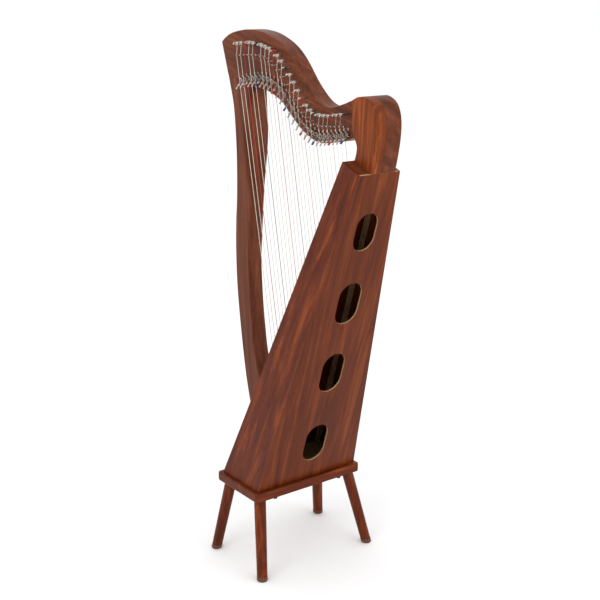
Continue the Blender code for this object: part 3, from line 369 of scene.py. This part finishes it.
def maths(tree, operation, first, second=0.0, clamped=False):
    """The result of a sum on one or two values or sockets."""
    node = tree.nodes.new("ShaderNodeMath")
    node.operation = operation
    node.use_clamp = clamped
    feed(tree, node.inputs[0], first)
    feed(tree, node.inputs[1], second)
    return node.outputs[0]


def spread(tree, value, low, high):
    """A value from 0 to 1 spread over another range."""
    return add_node(tree, "ShaderNodeMapRange", Value=value, To_Min=low, To_Max=high).outputs[0]


def bumps(tree, height, strength, distance):
    """A normal that shows a height."""
    node = add_node(tree, "ShaderNodeBump", Strength=strength, Distance=distance, Height=height)
    return node.outputs["Normal"]


def ramp(tree, factor, stops):
    """A colour ramp through (place, colour) stops."""
    node = tree.nodes.new("ShaderNodeValToRGB")
    tree.links.new(factor, node.inputs["Fac"])
    elements = node.color_ramp.elements
    while len(elements) < len(stops):
        elements.new(0.5)
    for element, (place, colour) in zip(elements, stops):
        element.position = place
        element.color = (*colour, 1.0)
    return node.outputs["Color"]


def mixed(tree, factor, first, second, blend="MIX"):
    """Mix two colours."""
    node = tree.nodes.new("ShaderNodeMix")
    node.data_type = "RGBA"
    node.blend_type = blend
    # A colour mix has its factor at input 0, its colours at 6 and 7, and its result at output 2
    for index, value in ((0, factor), (6, first), (7, second)):
        feed(tree, node.inputs[index], value)
    return node.outputs[2]


def bare_edges(tree, place, facing):
    """A factor that is 1 on faces turned away from a direction, near the middle plane."""
    dot = tree.nodes.new("ShaderNodeVectorMath")
    dot.operation = "DOT_PRODUCT"
    feed(tree, dot.inputs[0], add_node(tree, "ShaderNodeNewGeometry").outputs["Normal"])
    feed(tree, dot.inputs[1], facing)
    parts = add_node(tree, "ShaderNodeSeparateXYZ", Vector=place)
    near = maths(tree, "LESS_THAN", maths(tree, "ABSOLUTE", parts.outputs["Y"]), BARE_EDGE_REACH)
    away = maths(tree, "LESS_THAN", maths(tree, "ABSOLUTE", dot.outputs["Value"]), BARE_EDGE_FACING)
    return maths(tree, "MULTIPLY", near, away)


def wood(name, tones, turn, roughness=0.38, coat=0.02, edge=None, edge_normal=None, figure=1.0):
    """Varnished wood with its grain along one direction; its bare edges may show another colour."""
    dark, middle, light = tones
    material, tree, shader = new_material(name)
    place = object_place(tree)
    turned = add_node(tree, "ShaderNodeMapping", Vector=place, Rotation=turn).outputs["Vector"]
    long, fine, pores = (
        add_node(tree, "ShaderNodeMapping", Vector=turned, Scale=stretch).outputs["Vector"]
        for stretch in (FIGURE_STRETCH, GRAIN_STRETCH, PORE_STRETCH)
    )
    bands = noise(tree, long, 1.0, 5.0, Roughness=0.6, Distortion=0.9 * figure)
    lines = noise(tree, fine, 1.0, 3.0, Roughness=0.6)
    flecks = noise(tree, pores, 1.0, 1.0)
    broad = ramp(tree, bands, ((0.30, dark), (0.52, middle), (0.72, light)))
    streak = ramp(tree, lines, ((0.30, STREAK_TINT), (0.62, NO_TINT)))
    fleck = ramp(tree, flecks, ((0.24, PORE_TINT), (0.40, NO_TINT)))
    colour = mixed(tree, 0.75, broad, streak, "MULTIPLY")
    colour = mixed(tree, 0.6, colour, fleck, "MULTIPLY")
    if edge is not None:
        dark_ply = tuple(part * DARK_PLY_SHARE for part in edge)
        plies = ramp(tree, noise(tree, fine, 0.6, 3.0), ((0.3, dark_ply), (0.65, edge)))
        colour = mixed(tree, bare_edges(tree, place, edge_normal), colour, plies)
    set_inputs(
        tree,
        shader,
        Base_Color=colour,
        Normal=bumps(tree, lines, 0.10, 0.0004),
        Roughness=spread(tree, bands, roughness - 0.05, roughness + 0.09),
        Coat_Weight=coat,
        Coat_Roughness=0.18,
        Specular_IOR_Level=0.12,
    )
    return material


def metal(name, colour, roughness):
    """Polished metal with fine rubbing marks."""
    material, tree, shader = new_material(name)
    place = object_place(tree)
    worn = tuple(part * WORN_METAL_SHARE for part in colour)
    shade = ramp(tree, noise(tree, place, 60.0, 2.0), ((0.35, worn), (0.65, colour)))
    marks = noise(tree, place, 900.0, 3.0)
    rough = spread(tree, marks, roughness - 0.08, roughness + 0.15)
    set_inputs(tree, shader, Base_Color=shade, Roughness=rough, Metallic=1.0)
    return material


def plastic(name, colour, roughness, clear=0.0, speckle=0.25):
    """Nylon, plastic or rubber with a slightly uneven tone."""
    material, tree, shader = new_material(name)
    place = object_place(tree)
    darker = tuple(part * (1 - speckle) for part in colour)
    shade = ramp(tree, noise(tree, place, 120.0, 4.0), ((0.3, darker), (0.7, colour)))
    grain = bumps(tree, noise(tree, place, 1500.0, 2.0), 0.15, 0.0002)
    set_inputs(tree, shader, Base_Color=shade, Normal=grain, Roughness=roughness, Transmission_Weight=clear)
    return material


def lengthwise(x, z, y=0.0):
    """Mapping rotation that brings a direction to the texture's X axis."""
    return tuple(Vector((x, y, z)).rotation_difference(Vector((1, 0, 0))).to_euler())


MATERIALS = {}


def make_materials(colours):
    """Every material, by a short name."""
    red = ((0.070, 0.0110, 0.0020), (0.125, 0.0200, 0.0036), (0.260, 0.0540, 0.0090))
    orange = ((0.110, 0.0200, 0.0030), (0.190, 0.0370, 0.0055), (0.360, 0.0880, 0.0150))
    brown = ((0.075, 0.0165, 0.0060), (0.140, 0.0340, 0.0120), (0.230, 0.0640, 0.0250))
    back = ((0.080, 0.0135, 0.0026), (0.140, 0.0255, 0.0046), (0.240, 0.0550, 0.0110))
    bare = ((0.30, 0.18, 0.085), (0.42, 0.27, 0.13), colours.bare_wood)
    upright = lengthwise(0.0, 1.0)
    board_up = lengthwise(FRONT_LEAN, 1.0)
    back_up = lengthwise(BACK_LEAN, 1.0)
    front_to_back = (0.0, 0.0, math.radians(-90))
    MATERIALS.update({
        "pillar": wood("pillar wood", brown, lengthwise(-0.08, 1.0)),
        "neck": wood("neck wood", brown, lengthwise(1.0, -0.24), figure=1.6),
        "block": wood("shoulder wood", brown, lengthwise(0.25, -0.7, 0.7), figure=0.5),
        "cheek": wood("cheek wood", orange, lengthwise(0.06, 1.0)),
        "side": wood("box side wood", red, lengthwise(0.36, 1.0), figure=0.6),
        "back": wood("box back wood", back, back_up, edge=colours.bare_wood, edge_normal=BACK_OUT,
                     figure=0.6),
        "board": wood("soundboard wood", red, board_up, figure=0.5),
        "rib": wood("rib wood", red, board_up),
        "plate": wood("plate wood", red, front_to_back),
        "leg": wood("leg wood", red, upright),
        "pale": wood("bare wood", bare, upright, roughness=0.6, coat=0.0),
        "nickel": metal("nickel", colours.nickel, 0.24),
        "steel": metal("steel", colours.steel, 0.36),
        "brass": metal("brass", colours.brass, 0.28),
        "rubber": plastic("rubber", colours.bumpers, 0.75),
        "tip": plastic("brown rubber", colours.leg_tips, 0.55),
        "clear": plastic("pale nylon", colours.pale_strings, 0.28, clear=0.15, speckle=0.12),
        "red": plastic("red nylon", colours.red_strings, 0.32),
        "dark": plastic("dark nylon", colours.dark_strings, 0.32),
        "red_sleeve": plastic("red sleeve", colours.red_sleeves, 0.42),
        "blue_sleeve": plastic("blue sleeve", colours.blue_sleeves, 0.42),
    })


CAD_FINISHES = {
    "soundboard": "board",
    "back_panel": "back",
    "side_left": "side",
    "side_right": "side",
    "top_block": "block",
    "outer_string_rib": "rib",
    "inner_string_rib": "pale",
    "front_lining_left": "pale",
    "front_lining_right": "pale",
    "back_frame": "pale",
    "bottom_panel": "pale",
    "pillar_block": "pale",
    "pillar_bolt": "steel",
    "base_plate": "plate",
    "bumper_left": "rubber",
    "bumper_right": "rubber",
}


def paint_frame():
    """Give the shown CAD nodes their finishes."""
    for name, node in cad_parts.items():
        key = CAD_FINISHES.get(name)
        if name.startswith("leg_"):
            key = "leg"
        elif name.startswith("tip_"):
            key = "tip"
        if key is None:
            continue
        node.data.materials.clear()
        node.data.materials.append(MATERIALS[key])


def string_material(number):
    """The colour of a string, counted from the longest."""
    if number + 1 in RED_STRINGS:
        return "red"
    if number + 1 in DARK_STRINGS:
        return "dark"
    return "clear"


# Meshes
def new_object(name, data):
    """An object in the scene."""
    thing = bpy.data.objects.new(name, data)
    bpy.context.scene.collection.objects.link(thing)
    return thing


def finish_piece(name, shape, material, body="harp", bevel=0.0, segments=2, limit="ANGLE"):
    """Turn a bmesh into a piece that rides on a body."""
    bmesh.ops.recalc_face_normals(shape, faces=shape.faces)
    mesh = bpy.data.meshes.new(name)
    shape.to_mesh(mesh)
    shape.free()
    mesh.materials.append(MATERIALS[material])
    mesh.shade_smooth()
    mesh.set_sharp_from_angle(angle=SMOOTH_ANGLE)
    thing = new_object(name, mesh)
    if bevel:
        rounding = thing.modifiers.new("rounded edges", "BEVEL")
        rounding.width = bevel
        rounding.segments = segments
        rounding.limit_method = limit
        rounding.angle_limit = BEVEL_ANGLE
        rounding.harden_normals = True
    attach(thing, body)
    return thing


def join_rings(shape, first, second):
    """Close the band between two rings of as many points."""
    for index, vertex in enumerate(first):
        following = (index + 1) % len(first)
        shape.faces.new((vertex, first[following], second[following], second[index]))


def add_prism(shape, low_ring, high_ring):
    """Join two rings of points into a closed solid."""
    low = [shape.verts.new(point) for point in low_ring]
    high = [shape.verts.new(point) for point in high_ring]
    shape.faces.new(low)
    shape.faces.new(high)
    join_rings(shape, low, high)
    return low, high


def add_turned(shape, start, direction, profile, sides, closed=False):
    """Add a turned solid from (distance, radius) stations along a direction."""
    turn = direction.to_track_quat("Z", "Y").to_matrix()
    rings = []
    for distance, radius in profile:
        ring = []
        for side in range(sides):
            angle = math.tau * (side + 0.5) / sides
            spoke = turn @ Vector((math.cos(angle) * radius, math.sin(angle) * radius, distance))
            ring.append(shape.verts.new(start + spoke))
        rings.append(ring)
    pairs = list(zip(rings[:-1], rings[1:]))
    if closed:
        pairs.append((rings[-1], rings[0]))
    else:
        shape.faces.new(rings[0])
        shape.faces.new(rings[-1])
    for lower, upper in pairs:
        join_rings(shape, lower, upper)


def make_board(name, outline, faces, material, node, seams, edge, rounded=(0, 1)):
    """A board between two places in Y, its long edges rounded on the faces named and not at its seams."""
    shape = bmesh.new()
    weight = shape.edges.layers.float.new("bevel_weight_edge")
    far = CAD_BOUNDS[1].x - SHOWN_MARGIN
    top = CAD_BOUNDS[1].z - SHOWN_MARGIN
    outline = [(min(x, far), min(z, top)) for x, z in outline]
    rings = add_prism(shape, *([(x, y, z) for x, z in outline] for y in faces))
    for face in rounded:
        ring = rings[face]
        for index, vertex in enumerate(ring):
            if index not in seams:
                shape.edges.get((vertex, ring[(index + 1) % len(ring)]))[weight] = 1.0
    board = finish_piece(name, shape, material, bevel=edge,
                         segments=WOOD_EDGE_SEGMENTS, limit="WEIGHT")
    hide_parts(node)


def lift_from_box_top(outline):
    """Raise the lowest points of a shoulder outline to just above the box's sloping top."""
    lifted = []
    for x, z in outline:
        floor = BOX_TOP_FRONT[1] - TOP_SLOPE * (x - BOX_TOP_FRONT[0]) + CLEARANCE
        lifted.append((x, max(z, floor)))
    return lifted


def make_neck_pieces(steps, edge):
    """The neck, the shoulder block and the shoulder cheek."""
    faces = (NECK_LEFT_Y, NECK_RIGHT_Y)
    top = smooth_curve(NECK_TOP, steps)
    neck = [Vector(NECK_SEAM_OUTER), *top, *reversed(smooth_curve(NECK_UNDERSIDE, steps))]
    make_board("neck_wood", neck, faces, "neck", "neck", (len(top), len(neck) - 1), edge)
    seam = SEAM_X + CLEARANCE
    back = smooth_curve(SHOULDER_BACK, steps)
    waist = smooth_curve(SHOULDER_WAIST, steps)
    block = [Vector((seam, NECK_TOP[-1][1])), *back, *waist, Vector((seam, NECK_UNDERSIDE[-1][1]))]
    make_board("shoulder_block_wood", lift_from_box_top(block), faces, "block", "shoulder_block",
               (len(back), len(block) - 1), edge, (1,))
    cheek = [*back, *smooth_curve((*SHOULDER_WAIST, *CHEEK_FRONT), steps)]
    cheek_faces = (CHEEK_LEFT_Y, NECK_LEFT_Y - CLEARANCE)
    make_board("shoulder_cheek_wood", lift_from_box_top(cheek), cheek_faces, "cheek", "shoulder_cheek",
               (len(back) - 1,), edge, (0,))


def make_pillar(steps, stations, edge):
    """The bowed pillar with its long scoop."""
    outer = smooth_curve(PILLAR_OUTER, steps)
    inner = smooth_curve(PILLAR_INNER, steps)
    scoop = smooth_curve(PILLAR_SCOOP, steps)
    shape = bmesh.new()
    weight = shape.edges.layers.float.new("bevel_weight_edge")
    sections = []
    for station in range(stations + 1):
        outer_z = height_on_way(PILLAR_OUTER, station / stations)
        inner_z = height_on_way(PILLAR_INNER, station / stations)
        outer_x = x_at(outer, outer_z)
        inner_x = x_at(inner, inner_z)
        left_x = min(inner_x, x_at(scoop, inner_z)) if inner_z > PILLAR_SCOOP[-1][1] else inner_x
        drop = CLEARANCE if station == 0 else 0.0
        corners = (
            (outer_x, NECK_LEFT_Y, outer_z - drop),
            (left_x, NECK_LEFT_Y, inner_z - drop),
            (inner_x, NECK_RIGHT_Y, inner_z - drop),
            (outer_x, NECK_RIGHT_Y, outer_z - drop),
        )
        sections.append([shape.verts.new(corner) for corner in corners])
    shape.faces.new(sections[0])
    shape.faces.new(sections[-1])
    for upper, lower in zip(sections[:-1], sections[1:]):
        join_rings(shape, upper, lower)
        for ends in zip(upper, lower):
            shape.edges.get(ends)[weight] = 1.0
    pillar = finish_piece("pillar_wood", shape, "pillar", bevel=edge,
                          segments=WOOD_EDGE_SEGMENTS, limit="WEIGHT")
    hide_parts("pillar")


def make_string(name, route, diameter, material, resolution):
    """A round string along a route."""
    curve = bpy.data.curves.new(name, "CURVE")
    curve.dimensions = "3D"
    curve.bevel_depth = diameter / 2
    curve.bevel_resolution = resolution
    curve.use_fill_caps = True
    spline = curve.splines.new("POLY")
    spline.points.add(len(route) - 1)
    for point, position in zip(spline.points, route):
        point.co = (*position, 1.0)
    curve.materials.append(MATERIALS[material])
    string = new_object(name, curve)
    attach(string, "harp")
    return string


def make_strings(loops, resolution):
    """Every string, wound on its pin."""
    for number in range(STRING_COUNT):
        string = make_string(f"string_{number + 1:02d}", string_route(number, loops), string_diameter(number),
                             string_material(number), resolution)
        if number == 0:
            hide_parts("strings")


def make_pins():
    """Separate tuning pins with square ends, and bridge pins with a grooved tip."""
    for number in range(STRING_COUNT):
        shape = bmesh.new()
        top = pin_point(number, TUNING_CURVE)
        start = Vector((top.x, TUNING_PIN_START_Y, top.z))
        key_start = Vector((top.x, KEY_END_START_Y, top.z))
        add_turned(shape, start, NECK_OUT, TUNING_PIN_PROFILE, TUNING_PIN_SIDES)
        add_turned(shape, key_start, NECK_OUT, KEY_END_PROFILE, KEY_END_SIDES)
        pin = finish_piece(f"tuning_pin_{number + 1:02d}", shape, "nickel")
        shape = bmesh.new()
        low = pin_point(number, BRIDGE_CURVE)
        start = Vector((low.x, BRIDGE_PIN_START_Y, low.z))
        add_turned(shape, start, NECK_OUT, BRIDGE_PIN_PROFILE, BRIDGE_PIN_SIDES)
        bridge = finish_piece(f"bridge_pin_{number + 1:02d}", shape, "nickel")
        if number == 0:
            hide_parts("tuning_pins")
            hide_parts("bridge_pins")


def both_sides(side):
    """A closed outline from one side's points and their mirror images, the first one's image leading."""
    mirrored = [(-across, outward) for across, outward in side]
    return [mirrored[0], *side, *reversed(mirrored[1:])]


def on_lever(matrix, across, outward, off):
    """A point of a lever at rest, which points outward and down; off is its distance from the middle."""
    return matrix @ (LEVER_ACROSS * across + LEVER_OUTWARD * outward + LEVER_NORMAL * off)


def make_fork(body, matrix):
    """A lever with a window for its string and a tapered handle."""
    shape = bmesh.new()
    faces = []
    for off in (-LEVER_THICKNESS / 2, LEVER_THICKNESS / 2):
        rings = []
        edges = []
        for side in (LEVER_SIDE, LEVER_WINDOW_SIDE):
            points = [on_lever(matrix, across, outward, off) for across, outward in both_sides(side)]
            ring = [shape.verts.new(point) for point in points]
            for index, vertex in enumerate(ring):
                edges.append(shape.edges.new((vertex, ring[(index + 1) % len(ring)])))
            rings.append(ring)
        faces.append(rings)
        bmesh.ops.triangle_fill(shape, use_beauty=True, use_dissolve=False, edges=edges)
    for low_ring, high_ring in zip(*faces):
        join_rings(shape, low_ring, high_ring)
    lever = finish_piece(f"{body}_fork", shape, "nickel", body=body, bevel=METAL_ROUNDING)
    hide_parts(body)


def make_sleeve(body, matrix, material):
    """A coloured sleeve on a lever's handle."""
    thick = SLEEVE_HALF_THICKNESS
    ends = []
    for outward, wide in SLEEVE_ENDS:
        corners = ((-wide, -thick), (wide, -thick), (wide, thick), (-wide, thick))
        ends.append([on_lever(matrix, across, outward, off) for across, off in corners])
    shape = bmesh.new()
    add_prism(shape, *ends)
    finish_piece(f"{body}_sleeve", shape, material, body=body, bevel=SLEEVE_ROUNDING,
                 segments=SLEEVE_SEGMENTS)


def make_levers():
    """A fork-shaped lever for each string, with a sleeve on those of the red and dark strings."""
    for number in range(STRING_COUNT):
        body = f"lever_{number + 1:02d}"
        matrix = lever_matrix(number)
        make_fork(body, matrix)
        if number + 1 in RED_STRINGS:
            make_sleeve(body, matrix, "red_sleeve")
        elif number + 1 in DARK_STRINGS:
            make_sleeve(body, matrix, "blue_sleeve")


def make_lever_bases():
    """A slotted post that ends in a fret for each string, each with its screw."""
    for number in range(STRING_COUNT):
        matrix = lever_matrix(number)
        sides = []
        for half in (-BASE_HALF_WIDTH, BASE_HALF_WIDTH):
            sides.append([matrix @ Vector((half, outward, up)) for outward, up in BASE_PROFILE])
        shape = bmesh.new()
        add_prism(shape, *sides)
        base = finish_piece(f"lever_base_{number + 1:02d}", shape, "nickel",
                            bevel=METAL_ROUNDING)
        if number == 0:
            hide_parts("lever_bases")
        screw = bmesh.new()
        add_turned(screw, matrix @ SCREW_SEAT, NECK_OUT, SCREW_PROFILE, SCREW_SIDES)
        finish_piece(f"lever_screw_{number + 1:02d}", screw, "steel")


def make_eyelets():
    """A small ring where each string passes the rib."""
    for number in range(STRING_COUNT):
        foot = string_foot(number)
        along = (bridge_contact(number) - foot).normalized()
        point = foot + along * (RIB_TOP / along.dot(BOARD_OUT))
        shape = bmesh.new()
        add_turned(shape, point, BOARD_OUT, EYELET_PROFILE, EYELET_SIDES, closed=True)
        finish_piece(f"eyelet_{number + 1:02d}", shape, "brass")


# Studio
def add_area(name, location, power):
    """A soft square light that points at the harp's middle."""
    light = bpy.data.lights.new(name, "AREA")
    light.shape = "SQUARE"
    light.size = LIGHT_SIZE
    light.energy = power
    lamp = new_object(name, light)
    lamp.location = location
    lamp.rotation_euler = (Vector(LIGHT_TARGET) - Vector(location)).to_track_quat("-Z", "Y").to_euler()


def make_floor():
    """A plain pale floor that keeps the shadow."""
    mesh = bpy.data.meshes.new("floor")
    half = FLOOR_HALF
    corners = ((-half, -half), (half, -half), (half, half), (-half, half))
    mesh.from_pydata([(x, y, FLOOR_Z) for x, y in corners], [], [(0, 1, 2, 3)])
    material, tree, shader = new_material("floor paint")
    tone = noise(tree, object_place(tree), 3.0, 4.0)
    shade = ramp(tree, tone, ((0.3, (0.93, 0.93, 0.93)), (0.7, (0.95, 0.95, 0.95))))
    set_inputs(tree, shader, Base_Color=shade, Roughness=0.9, Specular_IOR_Level=0.0)
    mesh.materials.append(material)
    floor = new_object("floor", mesh)


def make_world(strength):
    """White for what the camera sees and for mirrors, and a light of its own strength for the rest."""
    world = bpy.data.worlds.new("studio")
    bpy.context.scene.world = world
    world.use_nodes = True
    tree = world.node_tree
    tree.nodes.clear()
    seen = add_node(tree, "ShaderNodeBackground", Color=NO_TINT, Strength=1.0)
    light = add_node(tree, "ShaderNodeBackground", Color=NO_TINT, Strength=strength)
    path = add_node(tree, "ShaderNodeLightPath")
    total = path.outputs["Is Camera Ray"]
    for output in ("Is Glossy Ray", "Is Transmission Ray"):
        total = maths(tree, "ADD", total, path.outputs[output], clamped=True)
    mix = tree.nodes.new("ShaderNodeMixShader")
    for socket, source in zip(mix.inputs, (total, light.outputs[0], seen.outputs[0])):
        tree.links.new(source, socket)
    out = tree.nodes.new("ShaderNodeOutputWorld")
    tree.links.new(mix.outputs[0], out.inputs["Surface"])


def make_camera():
    """The camera, from behind the player's left."""
    data = bpy.data.cameras.new("camera")
    data.lens = CAMERA_LENS
    data.sensor_width = CAMERA_SENSOR
    camera = new_object("camera", data)
    camera.location = CAMERA_PLACE
    camera.rotation_euler = (math.radians(90 - CAMERA_DIP), 0.0, math.radians(CAMERA_TURN))
    bpy.context.scene.camera = camera


# Add-on
class HARP_PG_sizes(PropertyGroup):
    """Choices for the harp's visible detail and for the strength of its lights."""

    loops: IntProperty(
        name="Winding loops",
        description="Turns of string on each tuning pin",
        default=4,
        min=2,
        max=5,
    )
    round_steps: IntProperty(
        name="String roundness",
        description="Steps in a quarter of a string's section",
        default=2,
        min=1,
        max=6,
    )
    steps: IntProperty(
        name="Curve steps",
        description="Points between control points of the wood outlines",
        default=8,
        min=2,
        max=16,
    )
    stations: IntProperty(
        name="Pillar stations",
        description="Sections along the pillar",
        default=90,
        min=20,
        max=200,
    )
    edge: FloatProperty(
        name="Edge rounding",
        description="Width of the rounding on the long edges of the neck, shoulder and pillar",
        default=0.004,
        min=0.001,
        max=0.006,
        precision=4,
        unit="LENGTH",
    )
    eyelets: BoolProperty(
        name="Eyelets",
        description="Add a ring where each string passes the rib",
        default=True,
    )
    key_power: FloatProperty(
        name="Key light",
        description="Power of the large soft light",
        default=60.0,
        min=0.0,
        unit="POWER",
    )
    sky: FloatProperty(
        name="Sky light",
        description="Strength of the even light from all round",
        default=1.1,
        min=0.0,
        subtype="FACTOR",
    )


def colour_choice(name, description, default):
    """A colour that a user can change."""
    return FloatVectorProperty(name=name, description=description, default=default, min=0.0, max=1.0,
                               subtype="COLOR")


class HARP_PG_colours(PropertyGroup):
    """Colours of the harp's metal, string, sleeve, rubber and bare wood finishes."""

    nickel: colour_choice("Nickel", "Pins, levers and lever bases", (0.66, 0.63, 0.58))
    steel: colour_choice("Steel", "Lever screws and the pillar bolt", (0.46, 0.46, 0.46))
    brass: colour_choice("Brass", "Eyelets on the rib", (0.62, 0.42, 0.16))
    pale_strings: colour_choice("Pale strings", "Strings of most notes", (0.72, 0.66, 0.56))
    red_strings: colour_choice("Red strings", "Strings that mark one note", (0.42, 0.020, 0.022))
    dark_strings: colour_choice("Dark strings", "Strings that mark another note", (0.010, 0.012, 0.045))
    red_sleeves: colour_choice("Red sleeves", "Sleeves on the red strings' levers", (0.50, 0.018, 0.020))
    blue_sleeves: colour_choice("Blue sleeves", "Sleeves on the dark strings' levers", (0.012, 0.030, 0.22))
    bumpers: colour_choice("Bumpers", "The two bumpers", (0.016, 0.015, 0.014))
    leg_tips: colour_choice("Leg tips", "Rubber at the ends of the legs", (0.110, 0.030, 0.010))
    bare_wood: colour_choice("Bare wood", "Unstained wood in the box and at cut edges", (0.52, 0.33, 0.17))


class HARP_OT_finishes(Operator):
    """Make the materials and paint the harp's frame."""

    bl_idname = "harp.finishes"
    bl_label = "Finishes"

    def execute(self, context):
        make_materials(context.scene.harp_colours)
        paint_frame()
        return {"FINISHED"}


class HARP_OT_neck(Operator):
    """Build the neck and the shoulder."""

    bl_idname = "harp.neck"
    bl_label = "Neck and shoulder"

    def execute(self, context):
        sizes = context.scene.harp_sizes
        make_neck_pieces(sizes.steps, sizes.edge)
        return {"FINISHED"}


class HARP_OT_pillar(Operator):
    """Build the bowed pillar."""

    bl_idname = "harp.pillar"
    bl_label = "Pillar"

    def execute(self, context):
        sizes = context.scene.harp_sizes
        make_pillar(sizes.steps, sizes.stations, sizes.edge)
        return {"FINISHED"}


class HARP_OT_pins(Operator):
    """Build the tuning pins and the bridge pins."""

    bl_idname = "harp.pins"
    bl_label = "Pins"

    def execute(self, context):
        make_pins()
        return {"FINISHED"}


class HARP_OT_levers(Operator):
    """Build the levers, their sleeves and their bases."""

    bl_idname = "harp.levers"
    bl_label = "Levers"

    def execute(self, context):
        make_levers()
        make_lever_bases()
        return {"FINISHED"}


class HARP_OT_strings(Operator):
    """Build the strings, and the rings they pass in the rib."""

    bl_idname = "harp.strings"
    bl_label = "Strings"

    def execute(self, context):
        sizes = context.scene.harp_sizes
        make_strings(sizes.loops, sizes.round_steps)
        if sizes.eyelets:
            make_eyelets()
        return {"FINISHED"}


class HARP_OT_studio(Operator):
    """Build the floor, the lights and the camera."""

    bl_idname = "harp.studio"
    bl_label = "Studio"

    def execute(self, context):
        sizes = context.scene.harp_sizes
        make_floor()
        make_world(sizes.sky)
        add_area("key light", KEY_PLACE, sizes.key_power)
        add_area("fill light", FILL_PLACE, sizes.key_power * FILL_SHARE)
        make_camera()
        context.scene.view_settings.view_transform = "Standard"
        return {"FINISHED"}


class HARP_PT_panel(Panel):
    """The harp's buttons and choices in the sidebar."""

    bl_label = "Harp"
    bl_idname = "HARP_PT_panel"
    bl_space_type = "VIEW_3D"
    bl_region_type = "UI"
    bl_category = "Harp"

    def draw(self, context):
        column = self.layout.column()
        for name in ("loops", "round_steps", "steps", "stations", "edge", "eyelets", "key_power", "sky"):
            column.prop(context.scene.harp_sizes, name)
        for name in ("nickel", "steel", "brass", "pale_strings", "red_strings", "dark_strings", "red_sleeves",
                     "blue_sleeves", "bumpers", "leg_tips", "bare_wood"):
            column.prop(context.scene.harp_colours, name)
        for operator in OPERATORS:
            column.operator(operator.bl_idname)


OPERATORS = (
    HARP_OT_finishes,
    HARP_OT_neck,
    HARP_OT_pillar,
    HARP_OT_pins,
    HARP_OT_levers,
    HARP_OT_strings,
    HARP_OT_studio,
)
CLASSES = (HARP_PG_sizes, HARP_PG_colours, *OPERATORS, HARP_PT_panel)


def register():
    """Register the add-on's classes and settings."""
    for item in CLASSES:
        bpy.utils.register_class(item)
    bpy.types.Scene.harp_sizes = PointerProperty(type=HARP_PG_sizes)
    bpy.types.Scene.harp_colours = PointerProperty(type=HARP_PG_colours)


def unregister():
    """Remove the add-on's classes and settings."""
    del bpy.types.Scene.harp_colours
    del bpy.types.Scene.harp_sizes
    for item in reversed(CLASSES):
        bpy.utils.unregister_class(item)


def main():
    """Build everything in order."""
    register()
    bpy.ops.harp.finishes()
    bpy.ops.harp.neck()
    bpy.ops.harp.pillar()
    bpy.ops.harp.pins()
    bpy.ops.harp.levers()
    bpy.ops.harp.strings()
    bpy.ops.harp.studio()


if __name__ == "__main__":
    main()
